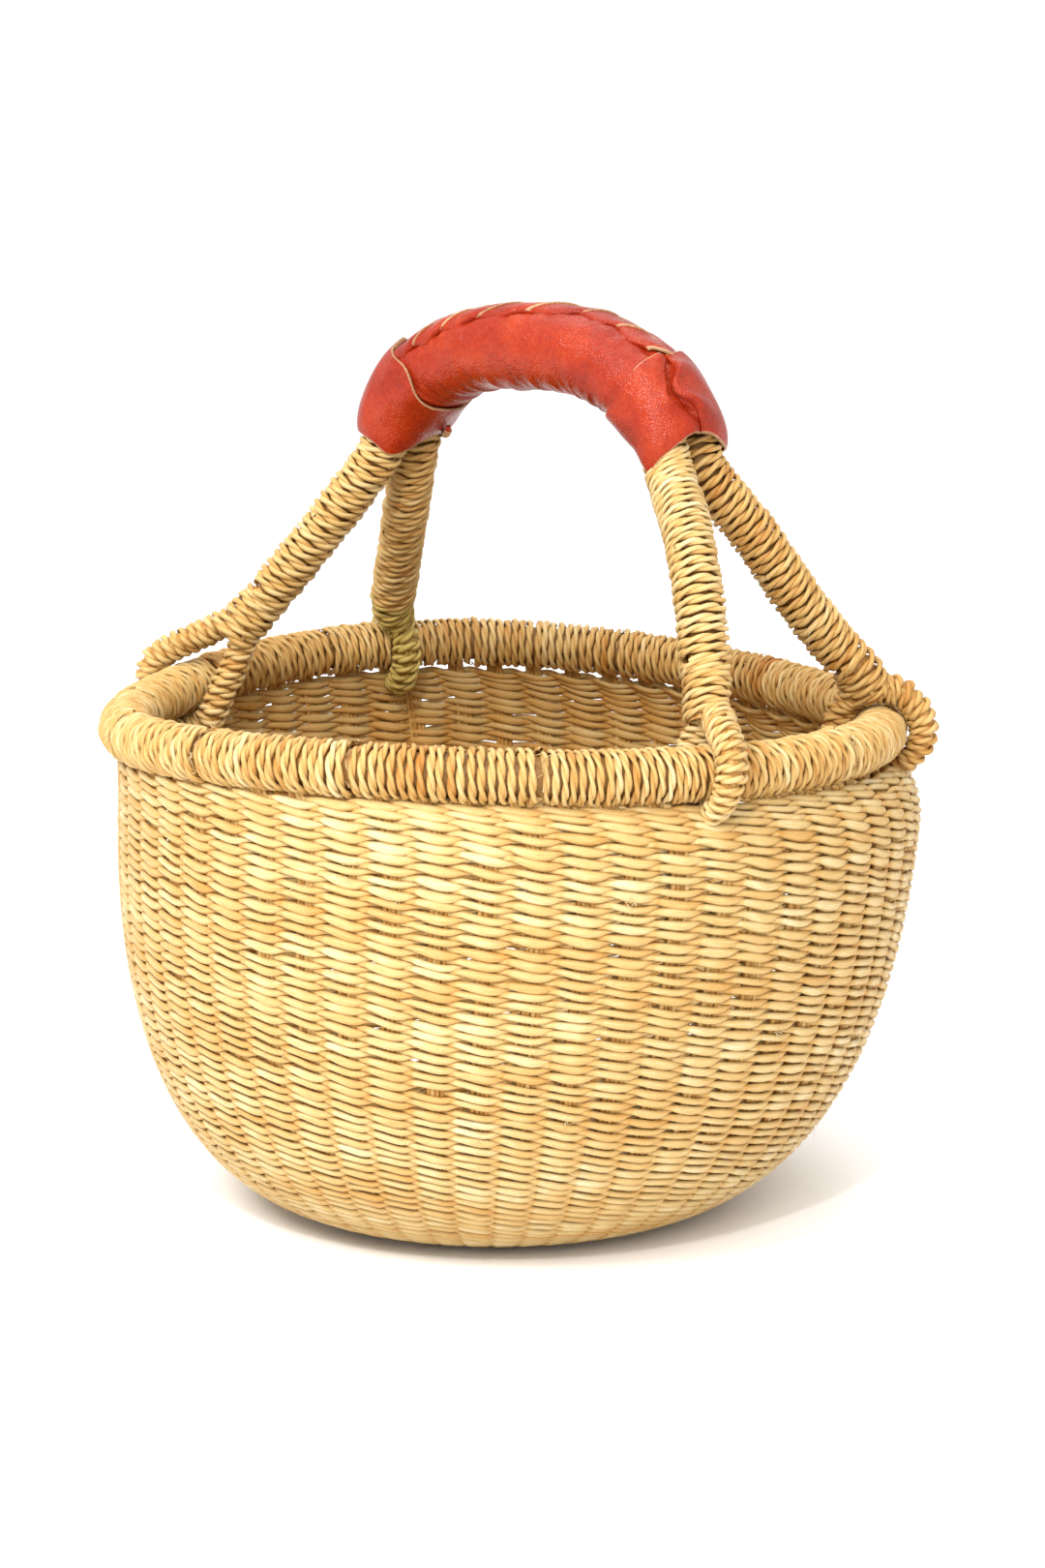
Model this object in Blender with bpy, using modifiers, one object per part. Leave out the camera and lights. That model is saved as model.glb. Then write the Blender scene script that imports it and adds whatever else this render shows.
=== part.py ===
"""Round woven market basket with a leather-covered carrying handle.

The frame stands on the floor: origin at the middle of the bounding box's bottom, +Z up,
the handle's arch along X. The basket is hand made, so its wall leans a little, its rim
waves a little, and its four handle loops are not quite symmetric.
"""
import math

import bmesh
import bpy
import numpy as np
from mathutils import Vector

COLLECTION = "market_basket"

# ---- gaps between touching pieces
GAP = 0.00035                    # between layers, tubes and skins
JOINT_GAP = 0.0009               # between the base and the side weave, and rim wraps
LEG_JOINT_GAP = 0.0013           # between the lengths of cord along a leg

# ---- weave
STAKES = 56                      # upright straw stakes round the basket
PITCH = 2 * math.pi / STAKES
FIRST_GAP = math.radians(-16.6)  # azimuth of one space between two stakes
SKIN = 0.0015                    # thickness of one layer of weft
STAKE_T = 0.0015                 # thickness of a stake
STAKE_W = 0.0060                 # width of a stake on the wall
HUB_FILL = 0.78                  # share of the pitch that a stake takes at the hub
STAKE_TOP_GAP = 0.0020           # stakes stop this short of the weave's top edge
LEAN_ASIDE = 0.26                # share of the pitch that stakes lean away from a loop
LEAN_START, LEAN_FULL = 0.80, 0.94       # shares of the meridian between which they lean

# ---- body shape
BASE_R = 0.0581                  # flat part of the base
WALL_R = 0.1410                  # widest outer radius
WALL_RISE = 0.160                # height in which the profile reaches it
PROFILE_IN, PROFILE_OUT = 2.5, 0.47
STRAIGHT_TOP = 0.138             # above this the wall turns in to the rim
TOP_BEND = 0.006                 # how sharply it turns in: the bend's height
FLAT_STEPS, WALL_STEPS, TOP_STEPS = 8, 48, 8     # points along one upright line of the body
BASE_CENTRE = Vector((-0.0025, -0.0024))
TOP_CENTRE = Vector((0.0040, 0.0035))
# Shares of the meridian's length: middle, hub, base bend, turn into the wall, wall, rim.
STATIONS = (0.0, 0.222, 0.285, 0.345, 0.425, 0.52, 0.68, 0.88, 0.955, 1.0)
TURN = 3                         # the station where the base meets the side

# ---- rim
RIM_CENTRE = Vector((-0.0008, -0.0014))
RIM_R = 0.1315                   # ring of the rim's middle line
RIM_Z = 0.1734
RIM_CORE_R = 0.0056
RIM_WRAP_R = 0.0094
RIM_WRAP_T = 0.0030
RIM_WRAP_SIDES = 10
RIM_WRAPS = 14                   # lengths of cord laid end to end
WRAP_STEPS = 3                   # stations along one length
WRAP_START = math.radians(-16.9)
WALL_UNDER_RIM = 0.0109          # top edge of the weave below the rim's middle line
WALL_TOP_OUT = 0.0030            # and outside it

# ---- handle
LOOP_AZIMUTHS = {"front_left": 33, "back_left": 26, "front_right": 0, "back_right": 8}
LOOP_STRAND_R = 0.0053
LOOP_REACH = 0.0152              # loop's middle line from the rim's
LOOP_POINTS = 22
CROWN_R = 0.0066                 # bend at the loop's top, under the leg's foot
CROWN_DROP = 0.0080              # how far that top lies below the foot
CROWN_MIN = 0.0010               # the crown stands at least this far above the belt
SLOT_CLEARANCE = 0.0006          # the weave's slots are this much wider than a strand
HOOP_CORE_R = 0.0051
LEG_WRAP_R = 0.0086
LEG_WRAP_T = 0.0024
HOOP_SPACING = 0.0180            # between the two hoops inside the grip
ARCH_CENTRE = Vector((0.0085, 0.0065, 0.245))
ARCH_HALF, ARCH_RISE, ARCH_POWER = 0.0685, 0.0563, 2.45
ARCH_END_Z = 0.262
# Feet of the four legs, from just over the rim up to the leather; routed by hand.
LEG_ROUTES = {
    "front_left": ((-0.1050, -0.0210, 0.2015), (-0.0960, -0.0170, 0.2130),
                   (-0.0848, -0.0124, 0.2270), (-0.0709, -0.0066, 0.2450)),
    "back_left": ((-0.1067, 0.0522, 0.1950), (-0.0987, 0.0458, 0.2057),
                  (-0.0839, 0.0340, 0.2237), (-0.0714, 0.0241, 0.2400)),
    "front_right": ((0.1139, -0.0291, 0.1970), (0.1080, -0.0248, 0.2160),
                    (0.1013, -0.0198, 0.2310), (0.0900, -0.0118, 0.2475)),
    "back_right": ((0.1053, 0.0668, 0.1891), (0.0988, 0.0566, 0.2020),
                   (0.0924, 0.0432, 0.2198), (0.0851, 0.0298, 0.2409)),
}
LEG_KNOTS = 4                    # points of a leg's route, and so its spans
ARCH_SPANS = 10
PER_SPAN = 8                     # points on each span of a smooth line
NECK = 0.0090                    # from a leg's foot up to its wrapping
NECK_R = 0.0084                  # the neck's thick end, just under the wrapping
NECK_THIN_R = 0.0065             # its thin end, where the two strands part
NECK_KNEE = 0.0040               # straight part of the neck below that end
LEG_SPLIT = 0.48                 # share of a leg where its two lengths of cord meet
LOWER_WRAP_POINTS, UPPER_WRAP_POINTS, HOOP_POINTS = 4, 6, 36

# ---- leather grip, half sizes of its oval section
SLEEVE_T = 0.0016
CUFF_T = 0.0014
MOUTH_FLARE = 0.0012             # the cuffs open this much wider round the legs
GRIP_WIDE = 0.0178               # across the two hoops
GRIP_DEEP_MID, GRIP_DEEP_END = 0.0147, 0.0101
FULLNESS_POWER = 0.6             # how quickly the grip fills out from its ends
OVAL_POWER = 0.9                 # slightly squarer than an ellipse
OVAL_SIDES = 14
MOUTH_LEFT, MOUTH_RIGHT = 0.012, 0.030   # shares of the arch that the cuffs leave bare
LEG_TOP = 0.036                  # share of the arch that the legs' cord reaches up to
SLEEVE_INSET = 0.055             # share where the sleeve starts, inside the cuff
PADDING_INSET = 0.004            # the padding starts this much further in
SLEEVE_STEPS = 11                # sections along the sleeve
CUFF_STEPS = 2                   # of which each cuff covers these at its end
LACE_R = 0.0009                  # seam's lip along the top
LACE_ANGLE = math.radians(68)    # round the section from the back side to the top
LACE_INSET = 0.01                # share of the arch between a cuff and the lip's end
LACE_STEPS = 10

STRAW = (0.80, 0.60, 0.30)
STRAW_DARK = (0.55, 0.37, 0.16)
RED_LEATHER = (0.60, 0.07, 0.04)
TAN_LEATHER = (0.50, 0.30, 0.16)


# ---------------------------------------------------------------- scene helpers
def clear_scene():
    for thing in list(bpy.data.objects):
        bpy.data.objects.remove(thing, do_unlink=True)


def collection(name, hidden=False):
    group = bpy.data.collections.new(name)
    bpy.context.scene.collection.children.link(group)
    group.hide_render = hidden
    return group


def material(name, colour, roughness):
    made = bpy.data.materials.new(name)
    made.use_nodes = True
    shader = made.node_tree.nodes["Principled BSDF"]
    shader.inputs["Base Color"].default_value = (*colour, 1.0)
    shader.inputs["Roughness"].default_value = roughness
    shader.inputs["Metallic"].default_value = 0.0
    made.diffuse_color = (*colour, 1.0)
    return made


def add_object(name, data, colour=None, roughness=0.8, cutter=False):
    thing = bpy.data.objects.new(name, data)
    (CUTTERS if cutter else PARTS).objects.link(thing)
    if cutter:
        thing.hide_render = True
        thing.display_type = "WIRE"
        return thing
    data.materials.append(material(name, colour, roughness))
    thing.parent = STAND
    return thing


def mesh_from(name, points, faces):
    mesh = bpy.data.meshes.new(name)
    mesh.from_pydata([tuple(p) for p in points], [], faces)
    mesh.validate()
    return mesh


def smooth(mesh, angle=40):
    mesh.shade_smooth()
    mesh.set_sharp_from_angle(angle=math.radians(angle))


def solidify(thing, thickness):
    """Thicken an open surface inwards, away from its outer face."""
    shell = thing.modifiers.new("thickness", "SOLIDIFY")
    shell.thickness = thickness
    shell.offset = -1.0
    shell.use_even_offset = True


def boolean(thing, other, operation):
    cut = thing.modifiers.new(operation.lower(), "BOOLEAN")
    cut.operation = operation
    cut.solver = "EXACT"
    cut.object = other


# ---------------------------------------------------------------- tubes
def curve_data(name, points, radius, resolution, cyclic=False, caps=True, taper=None):
    data = bpy.data.curves.new(name, "CURVE")
    data.dimensions = "3D"
    data.bevel_depth = radius
    data.bevel_resolution = resolution
    data.use_fill_caps = caps and not cyclic
    line = data.splines.new("POLY")
    line.points.add(len(points) - 1)
    for slot, point, share in zip(line.points, points, taper or [1.0] * len(points)):
        slot.co = (*point, 1.0)
        slot.radius = share
    line.use_cyclic_u = cyclic
    return data


def tube(name, points, radius, colour, cyclic=False):
    """A solid bar that follows a path, kept as a curve."""
    add_object(name, curve_data(name, points, radius, 2, cyclic), colour)


def tube_mesh(name, points, radius, resolution=2, cyclic=False, caps=True, taper=None):
    """The same as a mesh, for tubes that are hollowed, cut or joined."""
    data = curve_data(name, points, radius, resolution, cyclic, caps, taper)
    guide = bpy.data.objects.new(name + "_guide", data)
    bpy.context.scene.collection.objects.link(guide)
    bpy.context.view_layer.update()
    depsgraph = bpy.context.evaluated_depsgraph_get()
    mesh = bpy.data.meshes.new_from_object(guide.evaluated_get(depsgraph))
    bpy.data.objects.remove(guide, do_unlink=True)
    work = bmesh.new()
    work.from_mesh(mesh)
    bmesh.ops.remove_doubles(work, verts=work.verts, dist=1e-6)
    bmesh.ops.recalc_face_normals(work, faces=work.faces)
    work.to_mesh(mesh)
    work.free()
    mesh.name = name
    return mesh


def sleeve_tube(name, points):
    """Cord wound round a leg: a tube that is open at both ends."""
    mesh = tube_mesh(name, points, LEG_WRAP_R, resolution=3, caps=False)
    if outward_share(mesh, points) < 0.5:
        mesh.flip_normals()
    solidify(add_object(name, mesh, STRAW), LEG_WRAP_T)
    smooth(mesh)


def outward_share(mesh, points):
    """Share of a tube's faces that face away from the path it follows."""
    path = [Vector(p) for p in points]
    facing = 0
    for face in mesh.polygons:
        nearest = min(path, key=lambda p: (p - face.center).length)
        facing += (face.center - nearest).dot(face.normal) > 0
    return facing / len(mesh.polygons)


def resample(points, count):
    """Evenly spaced points along a polyline."""
    points = np.asarray(points, float)
    return part_of(points, 0.0, length_of(points), count)


def part_of(points, start, end, count):
    """The stretch of a polyline between two distances from its first point."""
    along = np.concatenate([[0], np.cumsum(np.linalg.norm(np.diff(points, axis=0), axis=1))])
    at = np.linspace(start, end, count)
    return np.stack([np.interp(at, along, points[:, i]) for i in range(3)], 1)


def length_of(points):
    return float(np.linalg.norm(np.diff(points, axis=0), axis=1).sum())


def through(knots):
    """A smooth line through a few points (Catmull-Rom)."""
    knots = [2 * knots[0] - knots[1], *knots, 2 * knots[-1] - knots[-2]]
    line = []
    for a, b, c, d in zip(knots, knots[1:], knots[2:], knots[3:]):
        for i in range(PER_SPAN):
            t = i / PER_SPAN
            line.append(0.5 * (2 * b + (c - a) * t + (2 * a - 5 * b + 4 * c - d) * t ** 2
                               + (3 * b - a - 3 * c + d) * t ** 3))
    return np.array([*line, knots[-2]], float)


# ---------------------------------------------------------------- body shape
def rim_point(azimuth):
    wave = (-0.0021 * math.cos(azimuth) - 0.0035 * math.sin(2 * azimuth)
            + 0.0013 * math.sin(3 * azimuth))
    return Vector((RIM_CENTRE.x + RIM_R * math.cos(azimuth),
                   RIM_CENTRE.y + RIM_R * math.sin(azimuth), RIM_Z + wave))


def wall_radius(z):
    share = 1 - (1 - z / WALL_RISE) ** PROFILE_IN
    return BASE_R + (WALL_R - BASE_R) * share ** PROFILE_OUT


def meridian(azimuth):
    """Outer line of the body at an azimuth, from the base's middle to just under the rim."""
    out = Vector((math.cos(azimuth), math.sin(azimuth)))

    def at(radius, z):
        middle = BASE_CENTRE.lerp(TOP_CENTRE, min(z / WALL_RISE, 1.0)) + out * radius
        return Vector((middle.x, middle.y, z))

    line = [at(BASE_R * i / FLAT_STEPS, 0.0) for i in range(FLAT_STEPS)]
    for i in range(WALL_STEPS + 1):
        z = STRAIGHT_TOP * (i / WALL_STEPS) ** 2
        line.append(at(wall_radius(z), z))
    top = rim_point(azimuth) + Vector((out.x, out.y, 0)) * WALL_TOP_OUT
    top.z -= WALL_UNDER_RIM
    bend = at(WALL_R, top.z - TOP_BEND)
    start = line[-1]
    for i in range(1, TOP_STEPS + 1):
        t = i / TOP_STEPS
        line.append(start * (1 - t) ** 2 + bend * 2 * t * (1 - t) + top * t ** 2)
    return np.array(line, float)


def layer_line(azimuth, depth, stations):
    """Points of the body at shares of a meridian's length, moved inwards by a depth."""
    line = meridian(azimuth)
    total = length_of(line)
    along = np.concatenate([[0], np.cumsum(np.linalg.norm(np.diff(line, axis=0), axis=1))])
    at = np.array(stations) * total
    points = np.stack([np.interp(at, along, line[:, i]) for i in range(3)], 1)
    out = np.array([math.cos(azimuth), math.sin(azimuth), 0.0])
    moved = []
    for i, point in enumerate(points):
        normals = []
        for a, b in ((i - 1, i), (i, i + 1)):
            if 0 <= a and b < len(points):
                step = points[b] - points[a]
                run, rise = step @ out, step[2]
                normals.append(np.array([-rise, run]) / math.hypot(run, rise))
        if stations[i] == 0:
            normals = [np.array([0.0, 1.0])]
        normal = sum(normals) / (1 + normals[0] @ normals[-1]) if len(normals) == 2 else normals[0]
        moved.append(point + depth * (normal[0] * out + np.array([0, 0, normal[1]])))
    return np.array(moved)


def gap_azimuth(index):
    return FIRST_GAP + PITCH * index


def open_sheet(name, points, faces):
    """An open sheet whose faces look down and out, ready to be thickened inwards."""
    mesh = mesh_from(name, points, faces)
    work = bmesh.new()
    work.from_mesh(mesh)
    bmesh.ops.recalc_face_normals(work, faces=work.faces)
    lowest = min(work.faces, key=lambda face: face.calc_center_median().z)
    if lowest.normal.z > 0:
        bmesh.ops.reverse_faces(work, faces=work.faces)
    work.to_mesh(mesh)
    work.free()
    return mesh


def shortened(column, distance):
    """A column of points whose last point is pulled back along it."""
    step = column[-2] - column[-1]
    return np.array([*column[:-1], column[-1] + step / np.linalg.norm(step) * distance])


def weft_layer(name, depth, base):
    """One layer of weft as a thin sheet, either the base's disc or the side's wall."""
    columns = [layer_line(gap_azimuth(k), depth, STATIONS) for k in range(STAKES)]
    middle = columns[0][0]
    if base:
        columns = [shortened(column[1:TURN + 1], JOINT_GAP) for column in columns]
    else:
        columns = [column[TURN:] for column in columns]
    rows = len(columns[0])
    points = [p for column in columns for p in column] + [middle] * base
    faces = []
    for k in range(STAKES):
        here, following = k * rows, (k + 1) % STAKES * rows
        faces += [(here + j, following + j, following + j + 1, here + j + 1)
                  for j in range(rows - 1)]
        if base:
            faces.append((STAKES * rows, following, here))
    mesh = open_sheet(name, points, faces)
    thing = add_object(name, mesh, STRAW)
    solidify(thing, SKIN)
    smooth(mesh)
    return thing


def stake_cage(name, depth):
    """All stakes with the pad that they make where they cross in the base's middle."""
    columns = [layer_line(gap_azimuth(k), depth, STATIONS) for k in range(STAKES)]
    middle = columns[0][0]
    columns = [shortened(column[1:], STAKE_TOP_GAP) for column in columns]
    loops = set(LOOP_AZIMUTHS.values())
    rows = len(columns[0])
    points, faces = [], []
    for k in range(STAKES):
        here, following = columns[k], columns[(k + 1) % STAKES]
        aside = (k in loops) - ((k + 1) % STAKES in loops)
        for side in (-1, 1):
            for j in range(rows):
                half = min(HUB_FILL, STAKE_W / np.linalg.norm(following[j] - here[j])) / 2
                climb = (STATIONS[j + 1] - LEAN_START) / (LEAN_FULL - LEAN_START)
                lean = LEAN_ASIDE * aside * min(1.0, max(0.0, climb))
                share = 0.5 + side * half + lean
                points.append(here[j] * (1 - share) + following[j] * share)
        left, right = 2 * k * rows, (2 * k + 1) * rows
        onward = 2 * ((k + 1) % STAKES) * rows
        faces += [(left + j, right + j, right + j + 1, left + j + 1) for j in range(rows - 1)]
        faces += [(2 * STAKES * rows, right, left), (2 * STAKES * rows, onward, right)]
    thing = add_object(name, open_sheet(name, [*points, middle], faces), STRAW_DARK)
    solidify(thing, STAKE_T)
    return thing


# ---------------------------------------------------------------- rim
def rim_azimuth(step):
    return WRAP_START + 2 * math.pi * step / (RIM_WRAPS * WRAP_STEPS)


def rim_wrap(name, azimuths):
    """One length of cord round the rim: a sleeve whose ends lie in radial planes."""
    points, faces = [], []
    for azimuth in azimuths:
        out = Vector((math.cos(azimuth), math.sin(azimuth), 0.0))
        for i in range(RIM_WRAP_SIDES):
            turn = 2 * math.pi * i / RIM_WRAP_SIDES
            points.append(rim_point(azimuth) + RIM_WRAP_R * (out * math.cos(turn)
                                                            + Vector((0, 0, math.sin(turn)))))
    for i in range(len(azimuths) - 1):
        for j in range(RIM_WRAP_SIDES):
            here = i * RIM_WRAP_SIDES + j
            beside = i * RIM_WRAP_SIDES + (j + 1) % RIM_WRAP_SIDES
            faces.append((here, here + RIM_WRAP_SIDES, beside + RIM_WRAP_SIDES, beside))
    mesh = mesh_from(name, points, faces)
    if outward_share(mesh, [rim_point(azimuth) for azimuth in azimuths]) < 0.5:
        mesh.flip_normals()
    solidify(add_object(name, mesh, STRAW), RIM_WRAP_T)
    smooth(mesh)


def build_rim():
    whole = [rim_point(rim_azimuth(step)) for step in range(RIM_WRAPS * WRAP_STEPS)]
    tube("rim_core", whole, RIM_CORE_R, STRAW_DARK, cyclic=True)
    inset = JOINT_GAP / 2 / RIM_R
    for k in range(RIM_WRAPS):
        first = k * WRAP_STEPS
        inner = [rim_azimuth(first + i) for i in range(1, WRAP_STEPS)]
        rim_wrap(f"rim_wrap_{k + 1:02d}", [rim_azimuth(first) + inset, *inner,
                                           rim_azimuth(first + WRAP_STEPS) - inset])


# ---------------------------------------------------------------- handle
def arch_point(share, y):
    """A point of the arch inside the grip, from its left end (0) to its right (1)."""
    start = math.asin(((ARCH_END_Z - ARCH_CENTRE.z) / ARCH_RISE) ** (ARCH_POWER / 2))
    turn = start + (math.pi - 2 * start) * share
    across = -math.copysign(abs(math.cos(turn)) ** (2 / ARCH_POWER), math.cos(turn))
    rise = math.sin(turn) ** (2 / ARCH_POWER)
    return np.array([ARCH_CENTRE.x + ARCH_HALF * across, y, ARCH_CENTRE.z + ARCH_RISE * rise])


def hoop_line(side):
    """Middle line of one hoop, from its left foot over the arch to its right foot."""
    y = ARCH_CENTRE.y + HOOP_SPACING / 2 * (-1 if side == "front" else 1)
    left = [np.array(p) for p in LEG_ROUTES[side + "_left"]]
    right = [np.array(p) for p in LEG_ROUTES[side + "_right"]]
    over = [arch_point(i / ARCH_SPANS, y) for i in range(ARCH_SPANS + 1)]
    return through([*left, *over, *reversed(right)])


def grip_line():
    """Middle line of the grip: between the two hoops."""
    both = (hoop_line("front") + hoop_line("back")) / 2
    return both[LEG_KNOTS * PER_SPAN:(LEG_KNOTS + ARCH_SPANS) * PER_SPAN + 1]


def oval_section(line, share, grow, turns):
    """The grip's oval section at a share of its length, grown by a distance."""
    at = share * (len(line) - 1)
    low = min(int(at), len(line) - 2)
    middle = line[low] * (1 - at + low) + line[low + 1] * (at - low)
    ahead = line[min(low + 2, len(line) - 1)] - line[max(low - 1, 0)]
    ahead /= np.linalg.norm(ahead)
    across = np.array([0.0, 1.0, 0.0])
    outward = np.cross(across, ahead)
    outward *= math.copysign(1.0, outward[2] if abs(outward[2]) > 0.3 else outward[0] * middle[0])
    fullness = math.sin(math.pi * share) ** FULLNESS_POWER
    deep = GRIP_DEEP_END + (GRIP_DEEP_MID - GRIP_DEEP_END) * fullness + grow
    wide = GRIP_WIDE + grow + MOUTH_FLARE * (share < SLEEVE_INSET or share > 1 - SLEEVE_INSET)
    ring = []
    for turn in turns:
        c, s = math.cos(turn), math.sin(turn)
        ring.append(middle + across * wide * math.copysign(abs(c) ** OVAL_POWER, c)
                    + outward * deep * math.copysign(abs(s) ** OVAL_POWER, s))
    return ring


def oval_loft(name, shares, grow, caps):
    """A loft through the grip's sections, whose ovals differ along the arch."""
    line = grip_line()
    count = OVAL_SIDES
    turns = [2 * math.pi * i / count for i in range(count)]
    rings = [oval_section(line, share, grow, turns) for share in shares]
    steps = len(rings) - 1
    points = [p for ring in rings for p in ring]
    faces = []
    for i in range(steps):
        for j in range(count):
            a, b = i * count + j, i * count + (j + 1) % count
            faces.append((a, b, b + count, a + count))
    if caps:
        faces += [tuple(range(count)), tuple(range(steps * count, (steps + 1) * count))]
    mesh = mesh_from(name, points, faces)
    work = bmesh.new()
    work.from_mesh(mesh)
    bmesh.ops.recalc_face_normals(work, faces=work.faces)
    work.to_mesh(mesh)
    work.free()
    if outward_share(mesh, [sum(ring) / count for ring in rings]) < 0.5:
        mesh.flip_normals()
    return mesh


def loop_ring(corner):
    """Middle line of a loop: a belt laid round the rim and a smaller crown above it.

    Gives the closed line and the crown's top, where the leg comes in.
    """
    azimuth = gap_azimuth(LOOP_AZIMUTHS[corner])
    eye = rim_point(azimuth)
    foot = Vector(LEG_ROUTES[corner][0])
    outward = Vector((math.cos(azimuth), math.sin(azimuth), 0.0))
    along = Vector((-outward.y, outward.x, 0.0))
    aside = along * (foot - eye).dot(along)
    up = (foot - eye - aside).normalized()
    outward = (outward - up * outward.dot(up)).normalized()
    crown = max(LOOP_REACH + CROWN_MIN, (foot - eye - aside).length - CROWN_DROP) - CROWN_R
    leave = math.acos((LOOP_REACH - CROWN_R) / crown)
    belt = []
    for turn in np.linspace(leave, 2 * math.pi - leave, 40):
        belt.append(eye + LOOP_REACH * (up * math.cos(turn) + outward * math.sin(turn)))
    for turn in np.linspace(-leave, leave, 12):
        lift = crown + CROWN_R * math.cos(turn)
        belt.append(eye + aside * lift / (foot - eye).length + up * lift
                    + outward * CROWN_R * math.sin(turn))
    line = resample([*belt, belt[0]], LOOP_POINTS + 1)[:-1]
    return line, eye + aside * crown / (foot - eye).length + up * (crown + CROWN_R)


def leg_line(corner):
    """A leg's middle line from its foot up to the grip's mouth and on over the arch."""
    side, end = corner.split("_")
    line = hoop_line(side)
    return line if end == "left" else line[::-1]


def neck_mesh(name, corner, crown):
    """The short thick place where a leg parts into its loop's two strands."""
    knee, top = part_of(leg_line(corner), NECK - NECK_KNEE, NECK, 2)
    return tube_mesh(name, [crown, knee, top], NECK_R, resolution=3,
                     taper=[NECK_THIN_R / NECK_R, 1.0, 1.0])


def build_loops(slotted):
    """The four loops round the rim, and the slots that they pass through the weave in."""
    for corner in LOOP_AZIMUTHS:
        ring, crown = loop_ring(corner)
        mesh = tube_mesh("loop_" + corner, ring, LOOP_STRAND_R, cyclic=True)
        loop = add_object("loop_" + corner, mesh, STRAW)
        neck = add_object("neck_" + corner, neck_mesh("neck_" + corner, corner, crown),
                          cutter=True)
        boolean(loop, neck, "UNION")
        slot = add_object("slot_" + corner,
                          tube_mesh("slot_" + corner, ring, LOOP_STRAND_R + SLOT_CLEARANCE,
                                    cyclic=True),
                          cutter=True)
        for sheet in slotted:
            boolean(sheet, slot, "DIFFERENCE")


def build_legs():
    for corner in LEG_ROUTES:
        route = leg_line(corner)
        arch = length_of(route[LEG_KNOTS * PER_SPAN:(LEG_KNOTS + ARCH_SPANS) * PER_SPAN + 1])
        bottom = NECK + LEG_JOINT_GAP
        top = length_of(route[:LEG_KNOTS * PER_SPAN + 1]) + LEG_TOP * arch
        middle = bottom + (top - bottom) * LEG_SPLIT
        half_gap = LEG_JOINT_GAP / 2
        lower = part_of(route, bottom, middle - half_gap, LOWER_WRAP_POINTS)
        upper = part_of(route, middle + half_gap, top, UPPER_WRAP_POINTS)
        sleeve_tube(f"leg_wrap_{corner}_lower", lower)
        sleeve_tube(f"leg_wrap_{corner}_upper", upper)


def build_hoops():
    """The two straw bundles that run from foot to foot inside the wraps and the grip."""
    for side in ("front", "back"):
        line = hoop_line(side)
        whole = length_of(line)
        ends = NECK + 2 * GAP
        inner = part_of(line, ends, whole - ends, HOOP_POINTS)
        tube("hoop_core_" + side, inner, HOOP_CORE_R, STRAW_DARK)
        cutter = add_object("hoop_bore_" + side,
                            tube_mesh("hoop_bore_" + side, inner, HOOP_CORE_R + GAP), cutter=True)
        yield cutter


def build_grip(bores):
    along = [float(share) for share in np.linspace(SLEEVE_INSET, 1 - SLEEVE_INSET,
                                                   SLEEVE_STEPS + 1)]
    inside = [along[0] + PADDING_INSET, *along[1:-1], along[-1] - PADDING_INSET]
    padding = add_object("grip_padding", oval_loft("grip_padding", inside, -SLEEVE_T - GAP,
                                                   caps=True), STRAW_DARK)
    for bore in bores:
        boolean(padding, bore, "DIFFERENCE")
    leather = {"grip_sleeve": (along, 0.0, SLEEVE_T),
               "cuff_left": ([MOUTH_LEFT, *along[:CUFF_STEPS + 1]], CUFF_T + GAP, CUFF_T),
               "cuff_right": ([*along[-1 - CUFF_STEPS:], 1 - MOUTH_RIGHT], CUFF_T + GAP, CUFF_T)}
    for name, (shares, grow, thickness) in leather.items():
        skin = add_object(name, oval_loft(name, shares, grow, caps=False), RED_LEATHER, 0.45)
        solidify(skin, thickness)
        smooth(skin.data)
    line = grip_line()
    first, last = along[CUFF_STEPS] + LACE_INSET, along[-1 - CUFF_STEPS] - LACE_INSET
    seam = [oval_section(line, share, LACE_R + GAP, [LACE_ANGLE])[0]
            for share in np.linspace(first, last, LACE_STEPS)]
    tube("seam_lace", seam, LACE_R, TAN_LEATHER)


# ---------------------------------------------------------------- the basket
clear_scene()
PARTS = collection(COLLECTION)
CUTTERS = collection("cutters", hidden=True)
STAND = bpy.data.objects.new("stand", None)
PARTS.objects.link(STAND)

inner_depth = SKIN + GAP + STAKE_T + GAP
weft_layer("base_weft_outer", 0.0, base=True)
weft_layer("base_weft_inner", inner_depth, base=True)
side_sheets = [weft_layer("side_weft_outer", 0.0, base=False),
               weft_layer("side_weft_inner", inner_depth, base=False)]
stake_cage("stake_cage", SKIN + GAP)
build_rim()
build_loops(side_sheets)
build_legs()
build_grip(list(build_hoops()))
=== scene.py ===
"""Looks of a round market basket: twined straw body, corded rim and handle, leather grip.

Lengths are metres in the CAD's frame. The body and the cords are built strand by strand;
every strand is a tube whose "strand" UV map runs along it, and whose "tone" attribute says
how light its straw is, with painted shade and painted highlights worked into it.
"""

import math

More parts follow.
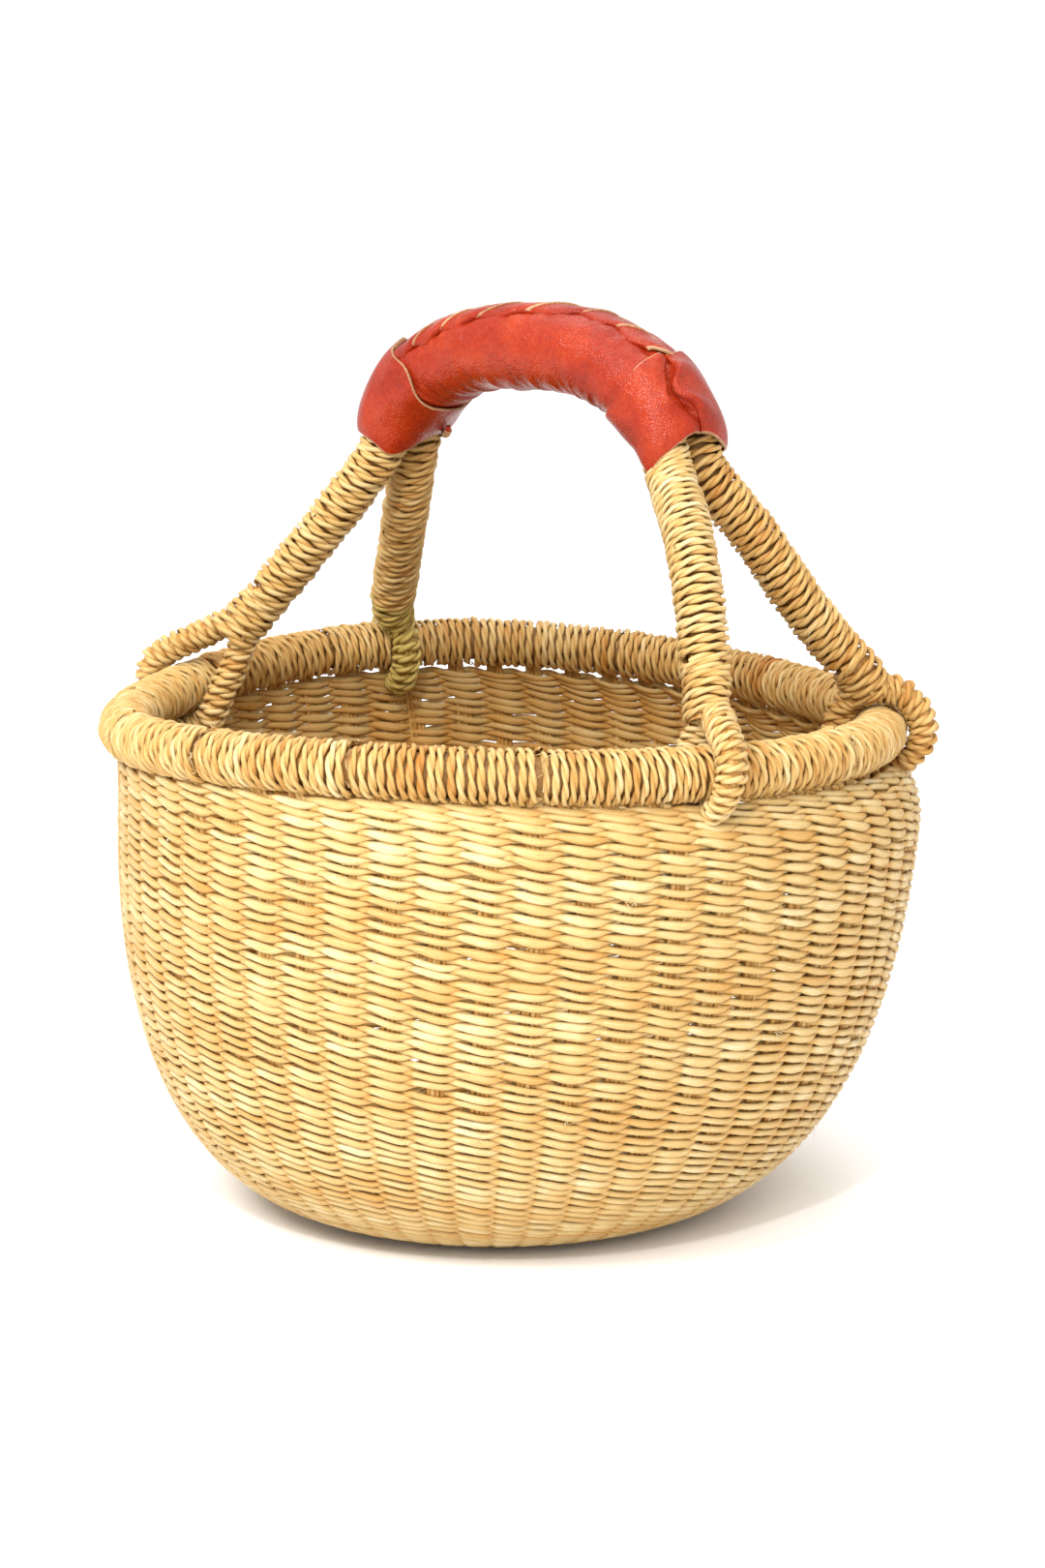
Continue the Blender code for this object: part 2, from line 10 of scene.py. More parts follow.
import bmesh
import bpy
import numpy as np
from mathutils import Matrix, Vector


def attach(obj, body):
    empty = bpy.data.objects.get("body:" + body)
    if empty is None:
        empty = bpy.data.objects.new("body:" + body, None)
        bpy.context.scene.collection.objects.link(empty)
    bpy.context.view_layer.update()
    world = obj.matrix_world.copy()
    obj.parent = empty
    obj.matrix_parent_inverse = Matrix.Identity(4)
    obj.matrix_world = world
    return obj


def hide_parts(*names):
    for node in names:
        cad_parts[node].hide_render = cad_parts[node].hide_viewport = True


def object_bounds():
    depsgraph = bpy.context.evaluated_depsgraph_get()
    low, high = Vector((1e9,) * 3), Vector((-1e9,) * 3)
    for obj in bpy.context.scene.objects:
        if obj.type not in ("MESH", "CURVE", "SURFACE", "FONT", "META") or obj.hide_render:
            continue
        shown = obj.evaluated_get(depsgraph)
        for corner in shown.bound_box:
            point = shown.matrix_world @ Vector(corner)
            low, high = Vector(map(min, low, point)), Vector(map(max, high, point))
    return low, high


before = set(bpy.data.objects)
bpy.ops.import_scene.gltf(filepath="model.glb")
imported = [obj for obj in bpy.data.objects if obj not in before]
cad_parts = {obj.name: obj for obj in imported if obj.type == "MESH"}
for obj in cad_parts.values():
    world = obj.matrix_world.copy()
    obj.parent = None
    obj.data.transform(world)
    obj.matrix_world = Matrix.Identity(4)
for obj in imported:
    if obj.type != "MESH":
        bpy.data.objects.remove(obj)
CAD_LOW, CAD_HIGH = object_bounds()
RNG = np.random.default_rng(11)
UP = np.array([0.0, 0.0, 1.0])

# ---- camera and room
CAMERA_AZIMUTH, CAMERA_ELEVATION = 42.0, 10.43
CAMERA_DISTANCE = 1.327
CAMERA_AIM = Vector((0.0, 0.0, 0.148))
CAMERA_ASIDE = 0.0053
FOCAL = 86.67
FLOOR_SIZE = 14.0
FLOOR_DROP = 0.0004  # the paper lies this far under the basket
SKY_STRENGTH = 1.07
LAMP_DISTANCE = 1.5
# name, azimuth, elevation (degrees), diameter, watts, colour
LAMPS = (("key", 0, 42, 0.6, 16.4, (1.0, 0.99, 0.96)),
         ("front", 44, 34, 0.9, 9.8, (1.0, 0.985, 0.95)),
         ("glint", 34, 34, 0.06, 7.0, (1.0, 0.99, 0.97)),
         ("back", 222, 62, 1.0, 5.0, (1.0, 1.0, 1.0)),
         ("top", 42, 78, 1.0, 6.0, (1.0, 1.0, 1.0)))

# ---- body: the same shape as the CAD's
STAKES = 56
PITCH = 2 * math.pi / STAKES
FIRST_GAP = math.radians(-16.6)
BASE_R, WALL_R = 0.0581, 0.1410
WALL_RISE, STRAIGHT_TOP = 0.160, 0.138
PROFILE_IN, PROFILE_OUT = 2.5, 0.47
BASE_CENTRE = np.array([-0.0025, -0.0024])
TOP_CENTRE = np.array([0.0040, 0.0035])
WALL_UNDER_RIM, WALL_TOP_OUT = 0.0098, 0.0034
WALL_BEND = 0.006  # the wall turns in this far under its top
WALL_DEPTH = 0.0026  # from the outer face to the stakes' middle
BASE_SHARE = 0.345  # of the meridian, where the CAD's base meets its side

# ---- weave
SAMPLES = 12  # points of a strand from one stake to the next
ROW_PITCH = 0.00362
FIRST_ROW = 0.0058  # distance from the base's middle
TOP_BARE, TOP_BARE_BACK = 0.0004, 0.0014  # last row below the weave's top: front, back
BACK = math.radians(132)  # azimuth of the side where the rim stands furthest off
STITCH_OUT = 0.00158  # a strand swings this far out of and into the wall
SWING_POWER = 0.80  # below 1 it crosses over quickly and lies flat on a stake
SWING_LEAD = 0.34  # it is furthest out this long before its middle (radians)
CROSS_OUT = 0.00078  # both strands lie this far out where they cross
STITCH_RISE = 0.00088  # up and down where two strands cross
STITCH_SAG = 0.00075  # a stitch's middle hangs this much lower than its ends
STITCH_TALL, STITCH_TALL_END = 0.00174, 0.00100
STITCH_THICK, STITCH_THICK_END = 0.00104, 0.00130  # a flat straw turns on edge as it crosses
STITCH_LIFT, SIZE_SPREAD = 0.00026, 0.10  # how unevenly stitches lie, and how their size varies
ROW_SHAKE, ROW_WANDER = 0.00020, 0.00022  # quick and slow unevenness of a row
BASE_THICK = 0.74  # of a stitch's thickness, where the base has fewer stakes
INNER_PAINTED_SHADE = 0.27  # painted shade and painted warm bounce light: each strand is darker and browner on its side facing into the basket
WEAVE_TONE, TONE_SPREAD = 0.49, 0.085
THIN_STITCHES, THIN_SIZE = 0.27, 0.74  # share of thin stitches, which bare the stakes
FACE_OUT = 0.0022  # the weave's outer face from the stakes' middle
LOOSE_FIBRES, STRAW_JOINS = 420, 34

# ---- stakes
# distance from the base's middle, and how many stakes there are from there on
STAKE_STARTS = ((0.004, 7), (0.012, 14), (0.0215, 28), (0.0425, STAKES))
STRAWS, STRAW_R, STRAW_STEP = 4, 0.00098, 0.00152  # straws side by side in one stake
STRAW_LENGTH = 0.27  # about one stake's length, for its slow bends

# ---- rim
RIM_CENTRE = np.array([-0.0008, -0.0014])
RIM_R, RIM_Z = 0.1315, 0.1734
RIM_OUTER = 0.0094
RIM_LENGTHS = 14
RIM_START = math.radians(-16.9)
RIM_CORE_R = 0.0066
RIM_PITCH = 0.0030  # of the cord wound round the rim
CHANGE_OVER = 0.0011  # notch where one length of cord gives way to the next
NOTCH_DEPTH = 0.0030
NOTCH_FIBRES = 26  # frayed ends at each notch

# ---- cord, as shares of its pitch
CORD_PLY = 0.270  # radius of one ply
CORD_SIDE, CORD_OUT = 0.215, 0.19  # how far a ply swings sideways and outwards
CORD_LAY, LOOP_LAY = 0.0160, 0.0110  # one twist of the two plies, in metres
CORD_POINTS = 30  # points of a cord in one turn round its path

# ---- handle: the same routes as the CAD's
LOOP_GAPS = {"front_left": 33, "back_left": 26, "front_right": 0, "back_right": 8}
LOOP_STRAND_R, LOOP_REACH = 0.0053, 0.0152
LOOP_CORD_OUT, LOOP_CORE_IN = 0.0005, 0.0014  # its cord and its core from that radius
LOOP_SQUEEZE = 0.0017  # a loop is thinner where it is squeezed between two stakes
CROWN_R, CROWN_DROP, CROWN_MIN = 0.0066, 0.0080, 0.0010
NECK_TOP, NECK_MIDDLE = (0.0098, 0.0074), (0.0094, 0.0080)  # half axes where two strands join
LEG_R = 0.0086
LEG_CORD_R = LEG_R + 0.0002
HOOP_R, NECK_CORE_R = 0.0055, 0.0058  # straw inside a leg and inside its neck
HOOP_SPACING = 0.0180
ARCH_CENTRE = np.array([0.0085, 0.0065, 0.245])
ARCH_HALF, ARCH_RISE, ARCH_POWER = 0.0685, 0.0563, 2.45
ARCH_END_Z = 0.262
ARCH_SPANS, LEG_KNOTS, PER_SPAN = 10, 4, 16
ARCH = slice(LEG_KNOTS * PER_SPAN, (LEG_KNOTS + ARCH_SPANS) * PER_SPAN + 1)  # points of a hoop
NECK, LEG_SPLIT, LEG_TOP = 0.0090, 0.48, 0.036
LEG_HIDDEN = 0.055  # share of the arch that the leg's cord runs on inside the cuff
LEG_ROUTES = {
    "front_left": ((-0.1050, -0.0210, 0.2015), (-0.0960, -0.0170, 0.2130),
                   (-0.0848, -0.0124, 0.2270), (-0.0709, -0.0066, 0.2450)),
    "back_left": ((-0.1067, 0.0522, 0.1950), (-0.0987, 0.0458, 0.2057),
                  (-0.0839, 0.0340, 0.2237), (-0.0714, 0.0241, 0.2400)),
    "front_right": ((0.1139, -0.0291, 0.1970), (0.1080, -0.0248, 0.2160),
                    (0.1013, -0.0198, 0.2310), (0.0900, -0.0118, 0.2475)),
    "back_right": ((0.1053, 0.0668, 0.1891), (0.0988, 0.0566, 0.2020),
                   (0.0924, 0.0432, 0.2198), (0.0851, 0.0298, 0.2409)),
}
# pitch of the cord on each leg's lower and upper length, and on its loop
CORD_PITCH = {"front_left": (0.0037, 0.0035, 0.0036), "back_left": (0.0034, 0.0033, 0.0034),
              "front_right": (0.0031, 0.0028, 0.0031), "back_right": (0.0033, 0.0031, 0.0034)}
# how far a loop's bottom lies to the side of its top
LOOP_LEAN = {"front_right": -0.0055}
# how light the straw of each leg's cord is
LEG_TONE = {"front_left": 0.64, "back_left": 0.50, "front_right": 0.70, "back_right": 0.46}
# lengths of cord plied from greener straw
GREEN_LENGTHS = {("back_left", "loop")}

# ---- grip
GRIP_WIDE, GRIP_DEEP_MID, GRIP_DEEP_END = 0.0178, 0.0147, 0.0101
OVAL_POWER = 0.9
SLEEVE_LEFT, SLEEVE_RIGHT = 0.062, 0.905  # shares of the arch where the sleeve's ends hide
SLEEVE_T, CUFF_T = 0.0015, 0.0010
PADDING_WIDE, PADDING_DEEP, PADDING_INSET = 0.0155, 0.0098, 0.02
CUFF_OUT, PUCKER = 0.0018, 0.0036  # cuff over the sleeve; depth of the right one's fold
CUFF_OVERLAP = 16  # degrees that a cuff's outer end covers of its beginning
SEAM_FIRST, SEAM_LAST, SEAM_FLAPS = 0.235, 0.76, 7  # flaps along the seam, between the cuffs
FLAP_LAP = 1.20  # a flap is this many times as long as its share of the seam
FLAP_WIDE = 34  # degrees of the grip's girth
KNOT_SHARE, KNOT_TURN, KNOT_OUT = 0.100, math.radians(286), 0.0024


# ---------------- small helpers
def unit(vectors):
    return vectors / np.linalg.norm(vectors, axis=-1, keepdims=True)


def outwards(azimuth):
    """Level unit vectors at azimuths."""
    return np.stack([np.cos(azimuth), np.sin(azimuth), 0 * azimuth], -1)


def distances(points):
    steps = np.linalg.norm(np.diff(points, axis=0), axis=1)
    return np.concatenate([[0.0], np.cumsum(steps)])


def along_line(points, at):
    """Points of a polyline at distances from its start."""
    along = distances(points)
    return np.stack([np.interp(at, along, points[:, k]) for k in range(3)], -1)


def stretch(points, start, end, step=0.0008):
    count = max(4, int((end - start) / step))
    return along_line(points, np.linspace(start, end, count))


def tangents(points, closed=False):
    if closed:
        return unit(np.roll(points, -1, 0) - np.roll(points, 1, 0))
    return unit(np.gradient(points, axis=0))


def wander(count, knots, amount):
    """A slow random wave round a closed line."""
    values = RNG.normal(0, amount, knots)
    at = np.arange(count) / count * knots
    low = at.astype(int)
    ease = (1 - np.cos(math.pi * (at - low))) / 2
    return values[low % knots] * (1 - ease) + values[(low + 1) % knots] * ease


# ---------------- meshes of strands
class Strands:
    """Collects tubes of straw and makes one mesh of them."""

    def __init__(self):
        self.points, self.quads, self.uvs, self.tones = [], [], [], []
        self.count = 0

    def add(self, line, outward, half_out, half_side, tone, sides=6, closed=False, flat=False,
            inner_shade=0.0):
        """A tube of oval section; outward, one vector or one a point, is along its half_out.

        A flat one has a side, not a corner, of its section outwards. The last argument paints shade
        on its other side: how much darker that side is.
        """
        count = len(line)
        ahead = tangents(line, closed)
        first = unit(outward - ahead * (outward * ahead).sum(-1, keepdims=True))
        second = np.cross(ahead, first)
        half_out = np.broadcast_to(half_out, count)
        half_side = np.broadcast_to(half_side, count)
        turn = math.pi + 2 * math.pi * (np.arange(sides) + 0.5 * flat) / sides
        ring = (line[:, None] + first[:, None] * (half_out[:, None] * np.cos(turn))[..., None]
                + second[:, None] * (half_side[:, None] * np.sin(turn))[..., None])
        spans = count if closed else count - 1
        i, j = np.meshgrid(np.arange(spans), np.arange(sides), indexing="ij")
        after, beside = (i + 1) % count, (j + 1) % sides
        quads = np.stack([i * sides + j, i * sides + beside,
                          after * sides + beside, after * sides + j], -1)
        along = distances(np.vstack([line, line[:1]])) if closed else distances(line)
        u, v = along * 100, np.arange(sides + 1) / sides
        uvs = np.stack([np.stack([u[i + a], v[j + b]], -1)
                        for a, b in ((0, 0), (0, 1), (1, 1), (1, 0))], -2)
        self.points.append(ring.reshape(-1, 3))
        self.quads.append(quads.reshape(-1, 4) + self.count)
        self.uvs.append(uvs.reshape(-1, 2) + RNG.random(2) * (50, 0))
        # painted shade: the tube is darker on its side away from outward
        inner = inner_shade * np.clip(0.3 - np.cos(turn), 0, 1)
        self.tones.append((np.broadcast_to(tone, count)[:, None] - inner).ravel())
        self.count += ring.shape[0] * sides

    def piece(self, name, material, slot, *nodes):
        mesh = array_mesh(name, np.vstack(self.points), np.vstack(self.quads),
                          np.vstack(self.uvs), np.concatenate(self.tones))
        return finish_piece(name, mesh, material, slot, *nodes)


def array_mesh(name, points, quads, uvs, tones):
    mesh = bpy.data.meshes.new(name)
    mesh.vertices.add(len(points))
    mesh.vertices.foreach_set("co", points.astype(np.float32).ravel())
    mesh.loops.add(quads.size)
    mesh.loops.foreach_set("vertex_index", quads.astype(np.int32).ravel())
    mesh.polygons.add(len(quads))
    mesh.polygons.foreach_set("loop_start", np.arange(len(quads), dtype=np.int32) * 4)
    mesh.polygons.foreach_set("use_smooth", np.ones(len(quads), dtype=bool))
    mesh.update(calc_edges=True)
    layer = mesh.uv_layers.new(name="strand")
    layer.data.foreach_set("uv", uvs.astype(np.float32).ravel())
    tone = mesh.attributes.new("tone", "FLOAT", "POINT")
    tone.data.foreach_set("value", tones.astype(np.float32))
    return mesh


def add_object(name, data):
    made = bpy.data.objects.new(name, data)
    bpy.context.scene.collection.objects.link(made)
    return made


def finish_piece(name, mesh, material, slot, *nodes):
    thing = add_object(name, mesh)
    mesh.materials.append(material)
    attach(thing, "root")
    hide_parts(*nodes)
    return thing


# ---------------- materials
def link(tree, source, target):
    tree.links.new(source, target)


def node(tree, kind, **settings):
    made = tree.nodes.new(kind)
    for key, value in settings.items():
        setattr(made, key, value)
    return made


def new_material(name, roughness):
    made = bpy.data.materials.new(name)
    made.use_nodes = True
    shader = made.node_tree.nodes["Principled BSDF"]
    shader.inputs["Roughness"].default_value = roughness
    return made, made.node_tree, shader


def noise(tree, vector, scale, detail=3.0, roughness=0.55):
    made = node(tree, "ShaderNodeTexNoise")
    for key, number in (("Scale", scale), ("Detail", detail), ("Roughness", roughness)):
        made.inputs[key].default_value = number
    link(tree, vector, made.inputs["Vector"])
    return made.outputs["Fac"]


def scaled(tree, vector, scale):
    made = node(tree, "ShaderNodeMapping")
    made.inputs["Scale"].default_value = scale
    link(tree, vector, made.inputs["Vector"])
    return made.outputs["Vector"]


def ramp(tree, factor, stops):
    made = node(tree, "ShaderNodeValToRGB")
    band = made.color_ramp
    while len(band.elements) < len(stops):
        band.elements.new(0.5)
    for element, (place, colour) in zip(band.elements, stops):
        element.position = place
        element.color = (*colour, 1.0)
    link(tree, factor, made.inputs["Fac"])
    return made.outputs["Color"]


def maths(tree, operation, first, second):
    made = node(tree, "ShaderNodeMath", operation=operation)
    for socket, value in zip(made.inputs, (first, second)):
        if isinstance(value, float):
            socket.default_value = value
        else:
            link(tree, value, socket)
    return made.outputs[0]


def weighted(tree, *parts):
    """The sum of a few sources, each times its weight."""
    total = None
    for source, weight in parts:
        part = maths(tree, "MULTIPLY", source, weight)
        total = part if total is None else maths(tree, "ADD", total, part)
    return total


def bumped(tree, shader, height, strength, depth):
    """A bump map on the shader's normal."""
    made = node(tree, "ShaderNodeBump")
    made.inputs["Strength"].default_value = strength
    made.inputs["Distance"].default_value = depth
    link(tree, height, made.inputs["Height"])
    link(tree, made.outputs["Normal"], shader.inputs["Normal"])


def ranged(tree, value, low, high, out_low, out_high):
    made = node(tree, "ShaderNodeMapRange")
    for key, number in (("From Min", low), ("From Max", high),
                        ("To Min", out_low), ("To Max", out_high)):
        made.inputs[key].default_value = number
    link(tree, value, made.inputs["Value"])
    return made.outputs["Result"]


def straw(name, dark, middle, light, shift=0.0, grain=0.5, roughness=0.5):
    """Dry straw: fine pale and brown fibres along the strand, lighter or darker by its tone."""
    made, tree, shader = new_material(name, roughness)
    uv = node(tree, "ShaderNodeUVMap", uv_map="strand").outputs["UV"]
    tone = node(tree, "ShaderNodeAttribute", attribute_name="tone").outputs["Fac"]
    fibres = noise(tree, scaled(tree, uv, (0.9, 15.0, 1.0)), 1.6, 4.0, 0.6)
    patches = noise(tree, scaled(tree, uv, (0.8, 1.0, 1.0)), 1.1, 2.0)
    flecks = noise(tree, scaled(tree, uv, (9.0, 26.0, 1.0)), 1.4, 2.0)
    level = weighted(tree, (fibres, grain), (patches, 0.30), (flecks, 0.34), (tone, 0.62))
    # whatever the grain, straw of a middling tone keeps to the middle of the ramp
    level = maths(tree, "ADD", level, shift - 0.42 - 0.50 * (grain - 0.5))
    colour = ramp(tree, level, ((0.12, dark), (0.48, middle), (0.86, light)))
    link(tree, colour, shader.inputs["Base Color"])
    link(tree, ranged(tree, fibres, 0.3, 0.7, roughness + 0.10, roughness - 0.08),
         shader.inputs["Roughness"])
    bumped(tree, shader, fibres, 0.5, 0.00035)
    shader.inputs["Specular IOR Level"].default_value = 0.26
    return made


def leather(name, deep, body, pale):
    """Thin glazed goat leather: pebbled grain, faint mottling, scuffs that are a little paler."""
    made, tree, shader = new_material(name, 0.38)
    place = node(tree, "ShaderNodeTexCoord").outputs["Object"]
    mottle = noise(tree, place, 55.0, 4.0)
    cloud = noise(tree, place, 16.0, 2.0)
    fine = noise(tree, place, 620.0, 3.0)
    level = weighted(tree, (mottle, 0.45), (cloud, 0.25), (fine, 0.30))
    colour = ramp(tree, level, ((0.36, deep), (0.50, body), (0.64, pale)))
    link(tree, colour, shader.inputs["Base Color"])
    cells = node(tree, "ShaderNodeTexVoronoi", feature="F1")
    cells.inputs["Scale"].default_value = 1500.0
    link(tree, place, cells.inputs["Vector"])
    creases = noise(tree, place, 150.0, 4.0, 0.65)
    grain = maths(tree, "ADD", cells.outputs["Distance"], maths(tree, "MULTIPLY", creases, 2.6))
    bumped(tree, shader, grain, 0.60, 0.00034)
    link(tree, ranged(tree, mottle, 0.3, 0.7, 0.36, 0.18), shader.inputs["Roughness"])
    shader.inputs["Specular IOR Level"].default_value = 0.22
    return made


# darkest, middle and lightest colour of each
WEAVE_STRAW = straw("weave_straw", (0.42, 0.205, 0.042), (0.505, 0.350, 0.138), (0.67, 0.575, 0.37),
                    grain=0.85)
STAKE_STRAW = straw("stake_straw", (0.24, 0.085, 0.012), (0.44, 0.235, 0.055), (0.62, 0.46, 0.20),
                    shift=-0.02)
CORD_STRAW = straw("cord_straw", (0.34, 0.128, 0.014), (0.500, 0.318, 0.106), (0.67, 0.560, 0.34),
                   grain=0.90)
GREEN_CORD = straw("green_cord", (0.17, 0.090, 0.010), (0.43, 0.310, 0.078), (0.62, 0.52, 0.24),
                   grain=0.75)
CORE_STRAW = straw("core_straw", (0.13, 0.050, 0.009), (0.30, 0.155, 0.040), (0.42, 0.27, 0.11))
RED_LEATHER = leather("red_leather", (0.180, 0.0090, 0.0016), (0.262, 0.0180, 0.0030),
                      (0.335, 0.034, 0.0065))
TAN_EDGE = leather("tan_edge", (0.20, 0.085, 0.036), (0.35, 0.190, 0.095), (0.47, 0.30, 0.18))


# ---------------- body shape
def rim_point(azimuth):
    """Middle line of the rim; azimuth may be an array."""
    wave = (-0.0021 * np.cos(azimuth) - 0.0035 * np.sin(2 * azimuth)
            + 0.0013 * np.sin(3 * azimuth))
    return np.stack([RIM_CENTRE[0] + RIM_R * np.cos(azimuth),
                     RIM_CENTRE[1] + RIM_R * np.sin(azimuth), RIM_Z + wave], -1)


def meridian(azimuth, samples=72):
    """Outer line of the body, from the base's middle to just under the rim."""
    out = np.array([math.cos(azimuth), math.sin(azimuth)])
    z = STRAIGHT_TOP * np.linspace(0, 1, samples) ** 2
    flat = BASE_R * np.linspace(0, 1, 10)[:-1]
    share = 1 - (1 - z / WALL_RISE) ** PROFILE_IN
    radius = np.concatenate([flat, BASE_R + (WALL_R - BASE_R) * share ** PROFILE_OUT])
    height = np.concatenate([flat * 0, z])

    def at(radius, height):
        lean = np.minimum(height / WALL_RISE, 1.0)[..., None]
        middle = BASE_CENTRE * (1 - lean) + TOP_CENTRE * lean + out * radius[..., None]
        return np.concatenate([middle, height[..., None]], -1)

    line = at(radius, height)
    top = rim_point(azimuth) + np.array([*(out * WALL_TOP_OUT), -WALL_UNDER_RIM])
    bend = at(np.array(WALL_R), np.array(top[2] - WALL_BEND))
    t = np.linspace(0, 1, 12)[1:, None]
    curve = line[-1] * (1 - t) ** 2 + bend * 2 * t * (1 - t) + top * t ** 2
    return np.vstack([line, curve])


class Wall:
    """The stakes' middle surface: points, up and outward vectors by azimuth and share."""

    def __init__(self, azimuths, steps=420):
        out = outwards(azimuths)[:, None]
        points = np.empty((len(azimuths), steps, 3))
        for i, azimuth in enumerate(azimuths):
            line = meridian(azimuth)
            self.length = distances(line)[-1]
            points[i] = along_line(line, np.linspace(0, self.length, steps))
        up = unit(np.gradient(points, axis=1))
        run = (up * out).sum(-1, keepdims=True)
        normal = up[..., 2:] * out - run * UP
        self.tables = (points - normal * WALL_DEPTH, up, normal)
        self.steps = steps

    def at(self, shares):
        """Point, up and outward vectors at one share of the meridian for each azimuth."""
        place = np.clip(shares, 0, 1) * (self.steps - 1)
        low = np.minimum(place.astype(int), self.steps - 2)
        part = (place - low)[:, None]
        i = np.arange(len(low))
        return [table[i, low] * (1 - part) + table[i, low + 1] * part for table in self.tables]


# ---------------- weave
COLUMNS = STAKES * SAMPLES
TURN = np.arange(COLUMNS) / COLUMNS * 2 * math.pi
AZIMUTHS = FIRST_GAP + PITCH / SAMPLES * np.arange(COLUMNS)
WALL = Wall(AZIMUTHS)


def row_wave(share):
    """Slow rise and fall that neighbouring rows share, in metres."""
    return (0.0006 * np.sin(3 * TURN + 9 * share) + 0.0004 * np.sin(7 * TURN - 14 * share + 1.0)
            + 0.0003 * np.sin(13 * TURN + 23 * share + 2.0))


def stakes_at(distance):
    """How many stakes there are at distances from the base's middle: more as it widens."""
    starts, numbers = np.array(STAKE_STARTS).T
    return numbers.astype(int)[np.searchsorted(starts, distance, side="right") - 1]


def below_rim(share):
    """A row's share of the meridian all round: the last rows keep clear of the back of the rim."""
    bare = (TOP_BARE_BACK - TOP_BARE) * (1 + np.cos(AZIMUTHS - BACK)) / 2
    return share - bare / WALL.length * share ** 8


def twine_row(strands, distance):
    """The two strands of one row, each outside one stake and inside the next."""
    share = distance / WALL.length
    count = stakes_at(distance)
    wobble = row_wave(share) + wander(COLUMNS, count, ROW_SHAKE) + wander(COLUMNS, 17, ROW_WANDER)
    point, up, out = WALL.at(below_rim(share)
                             + wobble / WALL.length * min(1.0, distance / 0.03))
    cloud = (0.06 * np.sin(3 * TURN + 31 * share) + 0.05 * np.sin(7 * TURN - 47 * share + 2)
             + RNG.normal(0, 0.04))
    crowd = BASE_THICK if count < STAKES else 1.0
    for strand in (0, 1):
        phase = math.pi * (np.arange(COLUMNS) * count / COLUMNS - 0.5) + math.pi * strand
        stitch = np.floor(phase / math.pi + 0.5).astype(int) % (2 * count)
        swing = np.cos(phase + SWING_LEAD)
        full = np.abs(np.cos(phase + 0.10))
        over = np.clip(np.cos(phase), 0, 1)
        size = 1 + RNG.normal(0, SIZE_SPREAD, 2 * count).clip(-0.2, 0.16)
        size[RNG.random(2 * count) < THIN_STITCHES] = THIN_SIZE
        size, lift = size[stitch], RNG.normal(0, STITCH_LIFT, 2 * count)[stitch]
        reach = STITCH_OUT * np.sign(swing) * np.abs(swing) ** SWING_POWER
        reach += CROSS_OUT * (1 - swing ** 2)
        rise = lift * full - STITCH_RISE * np.sin(phase) - STITCH_SAG * over
        line = point + out * reach[:, None] + up * rise[:, None]
        tall = STITCH_TALL_END + (STITCH_TALL * size - STITCH_TALL_END) * full
        thick = STITCH_THICK_END + (STITCH_THICK - STITCH_THICK_END) * full
        # painted highlight and painted shade: a stitch's tip is lighter, and its tail, where it dips
        # under the next stitch, darker; painted shade where the two strands cross
        tone = (WEAVE_TONE + cloud + RNG.normal(0, TONE_SPREAD, 2 * count)[stitch]
                - 0.12 * np.sin(phase) * np.sign(np.cos(phase)) - 0.06 * (1 - full) ** 1.6)
        strands.add(line, out, thick * crowd, tall, tone, closed=True, flat=True,
                    inner_shade=INNER_PAINTED_SHADE)


def base_knot(strands):
    """The straw coiled up in the middle of the base, where the weaving began."""
    turn = np.linspace(0, 5 * math.pi, 60)
    radius = 0.0004 + 0.0044 * turn / turn[-1]
    line = np.stack([BASE_CENTRE[0] + radius * np.cos(turn),
                     BASE_CENTRE[1] + radius * np.sin(turn), np.full(60, WALL_DEPTH)], -1)
    strands.add(line, -UP, 0.0013, 0.0012, 0.4)


def build_weave():
    last = WALL.length - TOP_BARE
    rows = FIRST_ROW + ROW_PITCH * np.arange(int((last - FIRST_ROW) / ROW_PITCH) + 1)
    rows[1:] += (last - rows[-1]) * np.linspace(0, 1, len(rows))[1:]
    corner = BASE_SHARE * WALL.length
    base, side = rows[rows < corner], rows[rows >= corner]
    bands = [(f"base_weft_{k + 1}", band, ("base_weft_outer", "base_weft_inner"))
             for k, band in enumerate(np.array_split(base, 2))]
    bands += [(f"side_weft_{k + 1}", band, ("side_weft_outer", "side_weft_inner"))
              for k, band in enumerate(np.array_split(side, 6))]
    for name, band, nodes in bands:
        strands = Strands()
        if band[0] == FIRST_ROW:
            base_knot(strands)
        for distance in band:
            twine_row(strands, distance)
        strands.piece(name, WEAVE_STRAW, "weave", *nodes)


def hair(strands, root, ahead, away, length, radius, tone):
    """One loose fibre: it leaves its strand along the straw and curls away from it."""
    t = np.linspace(0, 1, 5)[:, None]
    aside = unit(np.cross(ahead, away))
    curl, bend = RNG.normal(0, 0.35), RNG.uniform(0.05, 0.45)
    line = root + length * (ahead * t + away * bend * t ** 1.5 + aside * curl * t ** 2)
    taper = radius * (1 - 0.7 * t[:, 0])
    strands.add(line, away, taper, taper, tone, sides=3)


